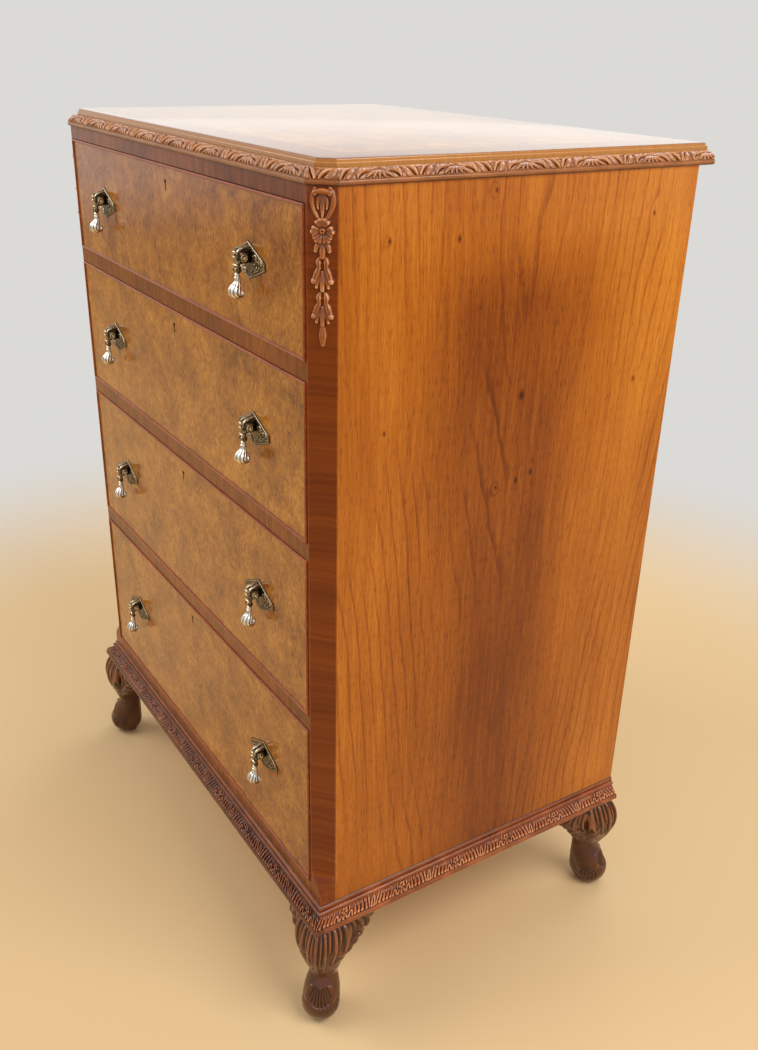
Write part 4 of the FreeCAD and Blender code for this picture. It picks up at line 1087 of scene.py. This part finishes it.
def foot_carving(points, normals):
    """Height and wear of the fluted disc under its hood, its bead, and the side volutes; the wear
    holds painted shade and highlight.
    """
    across = (points[:, 0] - points[:, 1]) * SLANT
    out = (points[:, 0] + points[:, 1]) * SLANT - 2 * FOOT_SET * SLANT
    up = points[:, 2] - FOOT_LIFT
    tilt, turn = math.radians(DISC_TILT), math.radians(DISC_TURN)
    toe, rise = out + 2 * (FOOT_SET - DISC_SET) * SLANT, points[:, 2] - DISC_LIFT
    toe, beside = (toe * math.cos(turn) + across * math.sin(turn),
                   across * math.cos(turn) - toe * math.sin(turn))
    ahead = toe * math.cos(tilt) + rise * math.sin(tilt)
    above = rise * math.cos(tilt) - toe * math.sin(tilt)
    front = np.clip(ahead / 4 - 1.5, 0, 1)
    far = np.hypot(beside, above * 0.96)
    fan = np.arctan2(beside, FLUTE_CENTRE - above)
    flutes = np.abs(np.cos(fan * FLUTE_TURNS)) ** 0.7
    inside = np.clip((DISC_RADIUS - far) / 1.5, 0, 1)
    rim = np.exp(-((far - DISC_RADIUS - 2.2) / 2.0) ** 2) * np.clip((above + 9) / 7, 0, 1)
    bead = np.sqrt(np.clip(1 - (np.hypot(beside * 0.85, above - 14.2) / 3.6) ** 2, 0, 1))
    height = front * (inside * (DISC_GROUND + FLUTE_HEIGHT * flutes) + 1.1 * rim)
    height = np.where(bead > 0, np.maximum(height, front * (3.4 * bead - 1.0)), height)
    # The sunk disc is darkened and its bead and hood lightened: painted shade and painted
    # highlight.
    worn_and_shaded = 0.5 + front * (inside * (0.46 * flutes - 0.42) + 0.05 * rim + 0.35 * bead)
    side = np.clip(np.abs(normals[:, 0] - normals[:, 1]) * SLANT * 3 - 1.7, 0, 1)
    side = side * (np.abs(across) > FOOT_WIDTH / 2 - 6) * (points[:, 2] < VOLUTE_TOP)
    radius, angle = np.hypot(out, up), np.arctan2(up, -out)
    turn = (radius / VOLUTE_PITCH - angle / (2 * math.pi)) % 1
    groove = np.exp(-((turn - 0.5) / 0.16) ** 2) * np.clip((VOLUTE_RADIUS - radius) / 2, 0, 1)
    groove = groove * (radius > 2.6)
    height = height - VOLUTE_DEPTH * side * groove
    # The volute grooves are darkened: painted shade.
    return height, np.clip(worn_and_shaded - 0.34 * side * groove, 0, 1)


def carved_leg():
    """Points, faces and wear of one leg at the drawing's corner; the wear holds painted shade and
    highlight too.
    """
    shell = Shell()
    shell.add(*leg_shank())
    shell.add(*leg_foot())
    for skin in leg_instep() + ear(False) + ear(True):
        shell.add(*skin)
    points, quads = remeshed(shell, LEG_VOXEL)
    points = relaxed(points, quads, 6)
    normals = unit(relaxed(point_normals(points, quads), quads, 3))
    relief = knee_relief()
    # Painted shade in the knee carving's hollows and painted highlight on its ridges, with rubbed
    # wear.
    worn_and_shaded = relief.wear(radius=2.4, contrast=0.4)
    u = np.abs(points[:, 0] - points[:, 1]) * SLANT
    v = LEG_TOP - points[:, 2]
    outward = np.maximum(np.maximum(normals[:, 0], normals[:, 1]),
                         (normals[:, 0] + normals[:, 1]) * SLANT)
    mask = np.clip(outward * 3 - 0.6, 0, 1) * np.clip((98 - v) / 10, 0, 1)
    ground = KNEE_GROUND * np.clip((KNEE_FADE[1] - v) / (KNEE_FADE[1] - KNEE_FADE[0]), 0, 1)
    lift = mask * (relief.sample(relief.height, u, v) * np.clip(v / KNEE_ROOT, 0, 1) + ground)
    wear = 0.5 + mask * (relief.sample(worn_and_shaded, u, v) - 0.5)
    foot_lift, foot_wear_and_shade = foot_carving(points, normals)
    low = points[:, 2] < FOOT_TOP
    lift = np.where(low, foot_lift, lift)
    wear = np.where(low, foot_wear_and_shade, wear)
    points = points + normals * lift[:, None]
    points[:, 2] = np.clip(points[:, 2], 0, LEG_TOP)
    return points, quads, wear


def make_legs(material):
    points, quads, wear = carved_leg()
    for name, x_sign, y_sign in (("front_left", -1, -1), ("front_right", 1, -1),
                                 ("back_left", -1, 1), ("back_right", 1, 1)):
        low, high = box_mm("leg_" + name)
        foot_y = high[1] - FOOT_REACH if y_sign > 0 else low[1] + FOOT_REACH
        placed = points * (x_sign, y_sign, 1) + (x_sign * half_width, foot_y, 0)
        faces = quads if x_sign * y_sign > 0 else quads[:, ::-1]
        make_piece("leg_%s_carved" % name, placed, faces, wear, material, "carcass",
                   "leg_" + name, "leg_walnut")


# The legs' tones are darker than the other carved walnut: painted shade, as the legs stand low
# under the chest.
make_legs(carved_wood("walnut_leg", ((22, 9, 4), (76, 36, 15), (106, 54, 24), (164, 100, 60)), 2,
                      coat_roughness=0.1))


# ---------------------------------------------------------------- corner carvings

CARVING_HALF, CARVING_LENGTH, CARVING_STEP = 14.5, 156.0, 0.5
CARVING_SUNK = -0.5             # the skin dips this far into the post round the carving
CARVING_BACK, CARVING_GROUND = -1.6, -3.0
CARVING_SHOWN = -0.4            # the wear and painted shade are reckoned from no deeper than this


def husk(relief, top):
    """A pair of pods, a pair of flaring petals and a leaf of three lobes hung between them."""
    relief.pair([(1.4, top + 17), (5.2, top + 20.5), (6.0, top + 28.5)], (1.5, 2.9, 2.0),
                (2.0, 3.2, 4.0), 0.6)
    relief.pair([(2.4, top), (5.2, top + 3.5), (3.0, top + 10.5)], (1.8, 3.3, 2.0),
                (2.6, 4.2, 3.2), 1.2)
    relief.pair([(3.4, top + 9), (5.6, top + 14.5), (8.2, top + 21.5)], (2.2, 3.5, 3.0),
                (2.8, 4.0, 4.6), 1.2)
    for side in (-1, 1):
        relief.bead(side * 8.6, top + 22.6, 3.4, 5.6)
    relief.leaf([(0.0, top + 14), (0.0, top + 23), (0.0, top + 31)], (2.2, 3.6, 2.5),
                (2.4, 4.0, 5.2), 0.6)


def fan(centre, degrees, reaches):
    """Points out from a centre in one direction."""
    angle = math.radians(degrees)
    return [(centre[0] + r * math.cos(angle), centre[1] + r * math.sin(angle)) for r in reaches]


def petal(relief, centre, degrees, spread, reach, strokes):
    """A notched petal of several strokes fanned about one direction."""
    for share in np.linspace(-1, 1, strokes):
        far = reach * (1 - 0.1 * abs(share))
        relief.leaf(fan(centre, degrees + spread * share, (3.0, 0.6 * far, far)), (1.2, 2.4, 2.9),
                    (1.6, 3.6, 5.0), 0.5)


def carving_relief():
    relief = Relief(CARVING_HALF, CARVING_LENGTH, CARVING_STEP, CARVING_GROUND, -CARVING_HALF)
    relief.leaf([(-7.5, 3.0), (-15.0, 16.0), (-2.5, 32.0)], (2.2, 2.5, 1.9), (2.4, 2.9, 2.4))
    relief.leaf([(7.5, 2.0), (16.0, 15.0), (2.5, 32.0)], (2.2, 3.1, 2.0), (2.6, 3.2, 2.6))
    relief.pair([(2.4, 9.0), (5.6, 14.0), (4.2, 21.0)], (1.6, 2.2, 1.2), (1.8, 2.6, 3.2), 0.6)
    relief.leaf([(0.0, 9.0), (0.0, 19.0), (0.0, 29.0)], (2.2, 3.0, 1.3), (1.8, 3.0, 3.8), 0.9)
    relief.leaf([(-8.0, 6.0), (0.0, 3.4), (8.0, 6.0)], (2.8, 3.3, 2.8), (4.2, 5.2, 4.2), over=True)
    for side in (-1, 1):
        relief.bead(side * 7.4, 6.6, 2.8, 5.2, pit=1.6)
    relief.gouge([(-6.0, 3.2), (0.0, 1.6), (6.0, 3.2)], (0.4, 0.8, 0.4), 0.9)
    centre = (0.0, 41.8)
    for degrees, spread, reach, strokes in ((-90, 34, 10.6, 4), (4, 22, 9.8, 3), (176, 22, 9.8, 3),
                                            (57, 20, 10.6, 3), (123, 20, 10.6, 3)):
        petal(relief, centre, degrees, spread, reach, strokes)
    for degrees in (-41, -139, 31, 149, 90):
        relief.gouge(fan(centre, degrees, (3.4, 7.0, 12.0)), (0.5, 0.7, 1.0), 1.8)
    relief.bead(*centre, 3.3, 5.0, pit=3.4)
    relief.pair([(2.0, 53.5), (6.0, 55.0), (7.0, 60.5)], (1.6, 2.9, 2.2), (2.2, 3.2, 3.8), 0.7)
    relief.leaf([(0.0, 54.0), (0.0, 60.0), (0.0, 66.0)], (2.0, 4.0, 2.9), (2.2, 4.0, 4.8), 0.7)
    husk(relief, 67.0)
    husk(relief, 101.5)
    relief.leaf([(0.0, 133.0), (0.0, 144.0), (0.0, 152.5)], (2.6, 4.5, 2.8), (2.8, 3.8, 3.0))
    for side in (-1, 1):
        relief.gouge([(side * 1.4, 134.0), (side * 1.7, 143.0), (side * 0.8, 153.0)],
                     (0.4, 0.7, 0.3), 0.9)
    relief.soften()
    return relief


def grown(mask):
    """The mask and the cells beside it."""
    wide = np.pad(mask, 1)
    return (wide[1:-1, 1:-1] | wide[:-2, 1:-1] | wide[2:, 1:-1] | wide[1:-1, :-2] | wide[1:-1, 2:]
            | wide[:-2, :-2] | wide[2:, 2:] | wide[:-2, 2:] | wide[2:, :-2])


def relief_solid(relief, worn_and_shaded, floor, back):
    """A closed solid of the raised cells: (u, v, height) points, faces and wear, the wear with its
    painted shade and highlight.
    """
    raised = grown(relief.height > floor)
    cells = grown(raised[:-1, :-1] | raised[1:, :-1] | raised[:-1, 1:] | raised[1:, 1:])
    lift = np.maximum(relief.height, floor)
    index = np.arange(lift.size).reshape(lift.shape)
    corners = [index[:-1, :-1], index[1:, :-1], index[1:, 1:], index[:-1, 1:]]
    front = np.stack([corner[cells] for corner in corners], -1)
    rear = front[:, ::-1] + lift.size
    wide = np.pad(cells, 1)
    walls = []
    for (i, j), first, second in (((0, -1), 0, 1), ((1, 0), 1, 2), ((0, 1), 2, 3), ((-1, 0), 3, 0)):
        beyond = wide[1 + i:wide.shape[0] - 1 + i, 1 + j:wide.shape[1] - 1 + j]
        edge = cells & ~beyond
        a, b = corners[first][edge], corners[second][edge]
        walls.append(np.stack([b, a, a + lift.size, b + lift.size], -1))
    faces = np.concatenate([front, rear] + walls)
    points = np.concatenate([np.stack([relief.u, relief.v, lift], -1).reshape(-1, 3),
                             np.stack([relief.u, relief.v, np.full(lift.shape, back)], -1)
                             .reshape(-1, 3)])
    wear = np.concatenate([worn_and_shaded.ravel(), np.full(lift.size, 0.5)])
    used, faces = np.unique(faces, return_inverse=True)
    return points[used], faces.reshape(-1, 4), wear[used]


def make_corner_carvings(material):
    relief = carving_relief()
    shown = Relief(CARVING_HALF, CARVING_LENGTH, CARVING_STEP, start=-CARVING_HALF)
    shown.height = np.maximum(relief.height, CARVING_SHOWN)
    # Painted shade in the carving's hollows and painted highlight on its ridges, with rubbed wear.
    points, faces, wear = relief_solid(relief, shown.wear(1.5, 0.36), CARVING_SUNK, CARVING_BACK)
    middle = np.array([half_width - cant_leg / 2, front_y + cant_leg / 2, carcass_top])
    placed = middle + points @ np.array([[SLANT, SLANT, 0], [0, 0, -1], [SLANT, -SLANT, 0]])
    shell = Shell()
    for side in (1, -1):
        shell.add(placed * (side, 1, 1), faces.tolist(), wear)
    shell.piece("corner_carvings_cut", material, "carcass", "corner_carvings", "carved_walnut")


make_corner_carvings(carved_wood("walnut_carving", (
    (44, 18, 8), (132, 70, 30), (180, 106, 52), (230, 178, 130)), 2))


# ---------------------------------------------------------------- handles
# A handle is drawn about its middle on the drawer's face: x to the right, y back, z up.

PLATE_HALF, PLATE_TALL = 38.5, 20.5
PLATE_END_TOP, PLATE_END_BOTTOM = 2.5, -6.5
PIN_PLACE = (-15.0, -9.0)       # y and z of the hinge pin
PIN_RADIUS = 1.2
CHEEK_INNER, CHEEK_OUTER, CHEEK_RADIUS = 2.3, 4.9, 3.4
BOLT_RADIUS, BOLT_END = 2.5, 7.0
NUT_HALF, NUT_THICK = 5.5, 4.0
BOSS_HALF = 7.2


def through(rows, count):
    """Smoothly interpolated rows of numbers."""
    rows = np.asarray(rows, float)
    at = np.linspace(0, len(rows) - 1, count)
    return np.stack([smooth_curve(np.arange(len(rows)), column, at) for column in rows.T], -1)


def turned(centre, direction, profile, around=32):
    """A closed turned solid: profile rows are (distance along the direction, radius)."""
    direction = unit(np.asarray(direction, float))
    beside = unit(np.cross(direction, (0, 0, 1) if abs(direction[2]) < 0.9 else (1, 0, 0)))
    other = np.cross(direction, beside)
    turn = full_turn(around)[:, None]
    rings = [np.asarray(centre) + far * direction + radius * (np.cos(turn) * beside
                                                             + np.sin(turn) * other)
             for far, radius in profile]
    return loft(rings)


def swept(rows, around, ribs=0, depth=0.0):
    """A skin round a path in the plane x = 0: rows are (y, z, thickness, width), both halved.

    Ribs run along the path. Returns points, faces and wear.
    """
    rows = np.asarray(rows, float)
    slope = unit(np.gradient(rows[:, :2], axis=0))
    turn = full_turn(around)
    swell = 1 - depth * np.abs(np.cos(ribs * turn / 2)) ** 3
    across = rows[:, 3:] * np.cos(turn) * swell
    out = rows[:, 2:3] * np.sin(turn) * swell
    points = np.stack([across, rows[:, :1] + out * slope[:, 1:], rows[:, 1:2] - out * slope[:, :1]],
                      -1)
    worn_and_shaded = 0.62 - 0.55 * (1 - swell) / max(depth, 0.01)
    points, faces = loft(points)
    return points, faces, np.tile(worn_and_shaded, len(rows))


def plate_relief():
    """Half the plate's casting: u from its middle line outwards, v down from the upper point."""
    relief = Relief(PLATE_HALF, 2 * PLATE_TALL, 0.4, ground=1.0)
    scrolls = [([(9.0, 9.0), (20.0, 9.0), (25.0, 15.5)], (0.8, 1.3, 0.9)),
               ([(25.0, 15.5), (28.5, 21.0), (22.5, 22.0)], (0.9, 1.1, 0.7)),
               ([(10.0, 17.0), (15.0, 11.0), (19.5, 15.0)], (0.7, 1.2, 0.8)),
               ([(19.5, 15.0), (22.0, 20.0), (16.5, 20.5)], (0.8, 1.1, 0.7)),
               ([(11.0, 31.5), (20.0, 31.0), (25.0, 25.0)], (0.7, 1.3, 0.9)),
               ([(4.0, 37.0), (6.0, 31.0), (12.5, 27.5)], (0.8, 1.4, 0.9)),
               ([(28.0, 17.0), (32.0, 17.5), (35.0, 21.5)], (0.7, 1.2, 0.8)),
               ([(28.0, 26.5), (32.5, 26.0), (35.5, 22.5)], (0.7, 1.1, 0.8)),
               ([(2.5, 3.5), (2.2, 6.0), (5.0, 8.5)], (0.8, 1.1, 0.7))]
    for curve, widths in scrolls:
        relief.leaf(curve, widths, (2.0, 2.3, 1.9))
    for u, v, radius in ((12.2, 14.5, 1.5), (16.8, 17.4, 2.0), (14.2, 23.4, 1.8), (19.0, 26.2, 1.7),
                         (10.4, 27.2, 1.4), (24.2, 19.0, 1.4), (30.4, 21.6, 1.7), (8.6, 34.4, 1.3),
                         (15.4, 29.0, 1.2), (22.6, 28.6, 1.2), (33.0, 24.2, 1.0), (10.2, 6.0, 1.1)):
        relief.bead(u, v, radius, 2.5, pit=0.6 if radius > 1.6 else 0.0)
    z = PLATE_TALL - relief.v
    fall = (PLATE_TALL - PLATE_END_TOP) / PLATE_HALF
    rise = (PLATE_TALL + PLATE_END_BOTTOM) / PLATE_HALF
    upper = (PLATE_TALL - fall * relief.u - z) / math.hypot(1, fall)
    lower = (z + PLATE_TALL - rise * relief.u) / math.hypot(1, rise)
    end = PLATE_HALF - relief.u
    for far, along, crest in ((upper, relief.u, 2.5), (lower, relief.u, 2.0), (end, z, 2.4)):
        rope = crest * np.sqrt(np.clip(1 - ((far - 1.3) / 1.5) ** 2, 0, 1))
        rope = rope - 0.55 * np.abs(np.cos(math.pi * (along + 0.8 * far) / 2.9)) ** 2
        relief.height = np.where(far < 2.8, np.maximum(rope, 0.8), relief.height)
    relief.soften()
    return relief


def plate_skin(relief, worn_and_shaded):
    """The plate as a loft from end to end: its front follows the relief, its back is flat."""
    stations = np.linspace(-PLATE_HALF, PLATE_HALF, 181)
    share = np.linspace(0, 1, 84)
    reach = np.abs(stations)[:, None] / PLATE_HALF
    top = PLATE_TALL + (PLATE_END_TOP - PLATE_TALL) * reach
    bottom = -PLATE_TALL + (PLATE_END_BOTTOM + PLATE_TALL) * reach
    z = top + (bottom - top) * share
    x = np.repeat(stations[:, None], len(share), 1)
    lift = relief.sample(relief.height, np.abs(x), PLATE_TALL - z)
    wear = relief.sample(worn_and_shaded, np.abs(x), PLATE_TALL - z)
    front = np.stack([x, -lift, z], -1)
    rear = np.stack([x[:, :2], np.zeros((len(stations), 2)), np.hstack([bottom, top])], -1)
    wear = np.hstack([wear, np.full((len(stations), 2), 0.3)])
    return (*loft(np.concatenate([front, rear], 1)), wear.ravel())


def boss_skin():
    """The corbel: a curled leaf with two rolls at its front, ribbed from top to bottom."""
    profile = through([(-1.0, 12.6), (-6.0, 13.4), (-11.5, 13.8), (-16.4, 13.2), (-18.8, 11.0),
                       (-18.4, 8.8), (-17.2, 7.6), (-18.8, 6.2), (-18.9, 3.6), (-16.6, 1.8),
                       (-14.6, 0.2), (-15.4, -1.8), (-16.2, -3.4), (-13.0, -4.0), (-7.0, -3.4),
                       (-1.0, -3.2)], 110)
    middle = np.array([-8.6, 4.6])
    stations = np.sin(np.linspace(-math.pi / 2, math.pi / 2, 61))
    rings, worn_and_shaded = [], []
    for station in stations:
        swell = math.sqrt(1 - 0.86 * station ** 2)
        groove = abs(math.cos(2.5 * math.pi * station)) ** 2
        swell *= 1 - 0.07 * groove
        ring = middle + (profile - middle) * swell
        rings.append(np.column_stack([np.full(len(ring), station * BOSS_HALF), ring]))
        worn_and_shaded.append(np.full(len(ring), 0.6 - 0.36 * groove))
    return (*loft(rings), np.concatenate(worn_and_shaded))


def rounded_disc(half, radius, fall):
    """Profile of a disc for turned: half its thickness, its radius and how far its rims fall."""
    return [(half * math.sin(a), radius - fall * (1 - math.cos(a)))
            for a in np.linspace(-math.pi / 2, math.pi / 2, 9)]


def handle_fittings(relief, worn_and_shaded, front_thick):
    """Plate, boss, scrolls, cheeks, pin, bolt and nut."""
    shell = Shell()
    shell.add(*plate_skin(relief, worn_and_shaded))
    shell.add(*boss_skin())
    curl = [(-9.4 + r * math.cos(a), 3.6 + r * math.sin(a), 0.9, 1.0)
            for a, r in ((math.radians(turn), 3.4 - turn * 0.0024)
                         for turn in np.linspace(-150, 200, 28))]
    leaf = through([(-3.0, 15.2, 0.8, 1.6), (-7.4, 14.4, 1.3, 2.3), (-12.0, 13.0, 1.4, 2.4),
                    (-15.6, 10.4, 1.2, 2.0), (-17.0, 7.0, 0.8, 1.2)], 24)
    middle, half = (CHEEK_INNER + CHEEK_OUTER) / 2, (CHEEK_OUTER - CHEEK_INNER) / 2
    web = [(PIN_PLACE[0], z, 2.6, half) for z in np.linspace(PIN_PLACE[1], -2.6, 6)]
    for side in (-1, 1):
        for rows, around, out, lighter in ((curl, 14, 6.6, 0.2), (leaf, 16, 3.6, 0.1),
                                           (web, 20, middle, 0.0)):
            points, faces, wear = swept(rows, around)
            shell.add(points + (side * out, 0, 0), faces, wear + lighter)
        shell.add(*ellipsoid((side * 6.7, -8.8, 3.2), np.eye(3) * 1.9, 20, 12), wear=1.0)
        shell.add(*turned((side * middle, *PIN_PLACE), (1, 0, 0),
                          rounded_disc(half, CHEEK_RADIUS, 0.7)))
    for y, z, axes, wear in ((-17.9, 9.6, (4.6, 1.9, 1.9), 0.75),
                             (-18.3, 4.6, (3.9, 1.7, 1.7), 0.75),
                             (-17.2, -3.8, (5.8, 2.0, 1.5), 0.95)):
        shell.add(*ellipsoid((0, y, z), np.diag(axes)), wear=wear)
    pin = [(side * (CHEEK_OUTER + past), radius) for side, past, radius in (
        (-1, 0.5, 0.6), (-1, 0.3, PIN_RADIUS), (1, 0.3, PIN_RADIUS), (1, 0.5, 0.6))]
    shell.add(*turned((0, *PIN_PLACE), (1, 0, 0), pin))
    end = front_thick + BOLT_END
    bolt = [(-0.8, BOLT_RADIUS), (end - 0.6, BOLT_RADIUS), (end, BOLT_RADIUS - 0.6)]
    shell.add(*turned((0, 0, 0), (0, 1, 0), bolt))
    nut = [[(x, front_thick + y, z) for x, z in ((-s, -s), (s, -s), (s, s), (-s, s))]
           for y, s in ((0, NUT_HALF), (NUT_THICK - 0.6, NUT_HALF), (NUT_THICK, NUT_HALF - 0.6))]
    shell.add(*loft(nut))
    return shell


def drop_cast():
    """The drop: an eye, a ball and a ring, a ribbed neck, and a ribbed shell that curls back."""
    shell = Shell()
    y, z = PIN_PLACE
    shell.add(*turned((0, y, z), (1, 0, 0), rounded_disc(2.0, 2.9, 0.5), 28))
    shell.add(*ellipsoid((0, y, z - 5.4), np.diag([3.1, 3.1, 2.5])), wear=0.8)
    ring = [(math.sin(a), 2.6 + 1.1 * math.cos(a)) for a in np.linspace(-1.4, 1.4, 11)]
    shell.add(*turned((0, y, z - 8.4), (0, 0, 1), ring), wear=0.85)
    rows = through([(-15.0, -14.0, 2.5, 2.5), (-15.0, -17.6, 2.9, 2.9), (-15.0, -21.5, 3.4, 3.9),
                    (-15.9, -25.2, 4.7, 6.0), (-17.7, -29.0, 6.3, 8.4), (-18.9, -32.6, 7.0, 9.6),
                    (-17.4, -35.4, 5.2, 9.4), (-14.4, -36.7, 3.6, 8.2), (-11.8, -36.7, 2.6, 6.8),
                    (-9.4, -35.6, 1.9, 5.6), (-8.6, -33.6, 1.2, 4.6)], 90)
    points, faces, wear = swept(rows, around=120, ribs=9, depth=0.15)
    shell.add(points, faces, 0.34 + 0.8 * wear)
    shell.add(*ellipsoid((0, -11.0, -33.2), np.diag([5.9, 3.4, 3.4])), wear=1.0)
    return shell


def cast_metal(name, tones, rough, bright_rough):
    """Cast and rubbed metal: dark wax in the hollows, bright on the worn ridges."""
    shader = material_shader(name)
    patch = shader.noise(shader.position, detail=4.0, roughness=0.6, scale=420.0)
    grit = shader.noise(shader.position, roughness=0.6, scale=1500.0)
    tone = shader.toned(shader.wear(), ((patch, 0.5), (grit, 0.25)))
    return shader.surface(shader.ramp(tone, (0.22, 0.52, 0.85), tones),
                          shader.between(tone, 0.35, 0.8, rough, bright_rough),
                          shader.bump(grit, 0.05, 0.4), metallic=1.0)


def make_handles(plate_metal, drop_metal):
    relief = plate_relief()
    worn_and_shaded = relief.wear(radius=1.4, contrast=0.5)
    drop = drop_cast()
    for number in drawer_numbers:
        drawer = "drawer_%d" % number
        low, high = box_mm(drawer + "_plates")
        face_low, face_high = box_mm(drawer + "_front")
        fittings = handle_fittings(relief, worn_and_shaded, face_high[1] - face_low[1])
        both = Shell()
        for side_name, side in (("left", -1), ("right", 1)):
            place = (side * (high[0] - PLATE_HALF), front_y, (low[2] + high[2]) / 2)
            both.add(*fittings.moved(place).whole())
            name = "drop_%d_%s" % (number, side_name)
            drop.moved(place).piece(name + "_cast", drop_metal, name,
                                    "%s_drop_%s" % (drawer, side_name), "bright_drop", sharp=60)
        both.piece(drawer + "_plates_cast", plate_metal, drawer, drawer + "_plates",
                   "antique_brass", sharp=60)


PLATE_TONES = ((34, 27, 20), (112, 96, 74), (214, 198, 166))
DROP_TONES = ((66, 56, 48), (184, 174, 160), (244, 241, 235))

make_handles(cast_metal("brass_antique", PLATE_TONES, 0.42, 0.24),
             cast_metal("bright_cast", DROP_TONES, 0.34, 0.17))


# ---------------------------------------------------------------- floor, background and lamps

WALL = srgb(219, 218, 215)
FLOOR = srgb(222, 194, 150)
FLOOR_SIZE = 40000.0
AMBIENT = 0.5
# Between each pair of distances the floor fades into the background's colour: as the camera sees
# it, and as polished surfaces mirror it.
FLOOR_SEEN, FLOOR_MIRRORED = (900.0, 1900.0), (5200.0, 9000.0)


def make_floor():
    shader = material_shader("floor")
    x, y = shader.split()[:2]
    far = shader.math("SQRT", shader.add(shader.times(x, x), shader.times(y, y)))
    rays = shader.node("ShaderNodeLightPath").outputs
    mirrored = shader.math("MAXIMUM", rays["Is Glossy Ray"], rays["Is Transmission Ray"])
    seen, mirrored = (shader.times(ray, shader.between(far, near * MM, beyond * MM))
                      for ray, (near, beyond) in ((rays["Is Camera Ray"], FLOOR_SEEN),
                                                  (mirrored, FLOOR_MIRRORED)))
    matt = shader.node("ShaderNodeBsdfDiffuse", {"Color": FLOOR}).outputs[0]
    glow = shader.node("ShaderNodeEmission", {"Color": WALL, "Strength": 1.0}).outputs[0]
    share = shader.math("MAXIMUM", seen, mirrored)
    half = FLOOR_SIZE / 2 * MM
    mesh = bpy.data.meshes.new("floor")
    mesh.from_pydata([(-half, -half, 0), (half, -half, 0), (half, half, 0), (-half, half, 0)], [],
                     [(0, 1, 2, 3)])
    both = shader.node("ShaderNodeMixShader", {0: share, 1: matt, 2: glow})
    mesh.materials.append(shader.show(both))
    added("floor", mesh)


def make_world():
    """The background's colour for rays that see it, and a weaker light for the rest."""
    world = bpy.data.worlds.new("studio")
    bpy.context.scene.world = world
    shader = Shader(world, "ShaderNodeOutputWorld")
    rays = shader.node("ShaderNodeLightPath").outputs
    shown = shader.math("MAXIMUM", rays["Is Camera Ray"], rays["Is Glossy Ray"])
    shown = shader.math("MAXIMUM", shown, rays["Is Transmission Ray"])
    light, wall = (shader.node("ShaderNodeBackground", {0: colour, 1: strength}).outputs[0]
                   for colour, strength in ((srgb(255, 252, 246), AMBIENT), (WALL, 1.0)))
    shader.show(shader.node("ShaderNodeMixShader", {0: shown, 1: light, 2: wall}))


def towards(azimuth, elevation):
    """The direction from the chest at these angles. Azimuth 0 is in front of it."""
    turn, tilt = math.radians(azimuth), math.radians(elevation)
    return Vector((math.sin(turn) * math.cos(tilt), -math.cos(turn) * math.cos(tilt),
                   math.sin(tilt)))


LAMP_TARGET = Vector((0, 0, 0.55))      # the middle of the chest, in metres
# Each lamp's azimuth, elevation, distance, width, height, watts and colour.
LAMPS = {"key": (-35, 42, 3600, 2400, 1800, 61, (255, 250, 244)),
         "side": (106, 44, 3100, 2000, 1600, 63, (255, 248, 240)),
         "back": (-160, 48, 3600, 2400, 1600, 30, (250, 252, 255)),
         "window": (-124, 10, 4200, 3800, 1900, 9.5, (255, 244, 234))}


def softbox(name, azimuth, elevation, distance, width, height, power, colour):
    """A large lamp that looks at the middle of the chest."""
    lamp = bpy.data.lights.new(name, "AREA")
    lamp.shape = "RECTANGLE"
    lamp.size, lamp.size_y = width * MM, height * MM
    lamp.energy = power
    lamp.color = srgb(*colour)[:3]
    holder = added(name, lamp)
    away = towards(azimuth, elevation)
    holder.location = LAMP_TARGET + away * distance * MM
    holder.rotation_mode = "QUATERNION"
    holder.rotation_quaternion = (-away).to_track_quat("-Z", "Y")
    holder.visible_camera = False


# The camera: its place in millimetres, the direction it looks from, its roll and its lens.
CAMERA_PLACE = (1258.23, front_y - 495.2, 1213.37)
CAMERA_AZIMUTH, CAMERA_ELEVATION, CAMERA_ROLL = 56.951, 25.16, 1.378
CAMERA_LENS, CAMERA_SENSOR = 35.667, 36.0


def make_camera():
    data = bpy.data.cameras.new("camera")
    data.sensor_fit = "AUTO"
    data.sensor_width = CAMERA_SENSOR
    data.lens = CAMERA_LENS
    data.clip_start, data.clip_end = 0.05, 100.0
    camera = added("camera", data)
    away = towards(CAMERA_AZIMUTH, CAMERA_ELEVATION)
    right = (-away).cross(Vector((0, 0, 1))).normalized()
    up = right.cross(-away)
    roll = math.radians(CAMERA_ROLL)
    x_axis = right * math.cos(roll) + up * math.sin(roll)
    y_axis = up * math.cos(roll) - right * math.sin(roll)
    place = Matrix((x_axis, y_axis, away)).transposed().to_4x4()
    place.translation = Vector(CAMERA_PLACE) * MM
    camera.matrix_world = place
    bpy.context.scene.camera = camera


make_floor()
make_world()
for lamp_name, settings in LAMPS.items():
    softbox(lamp_name, *settings)
make_camera()
bpy.context.scene.view_settings.view_transform = "Standard"
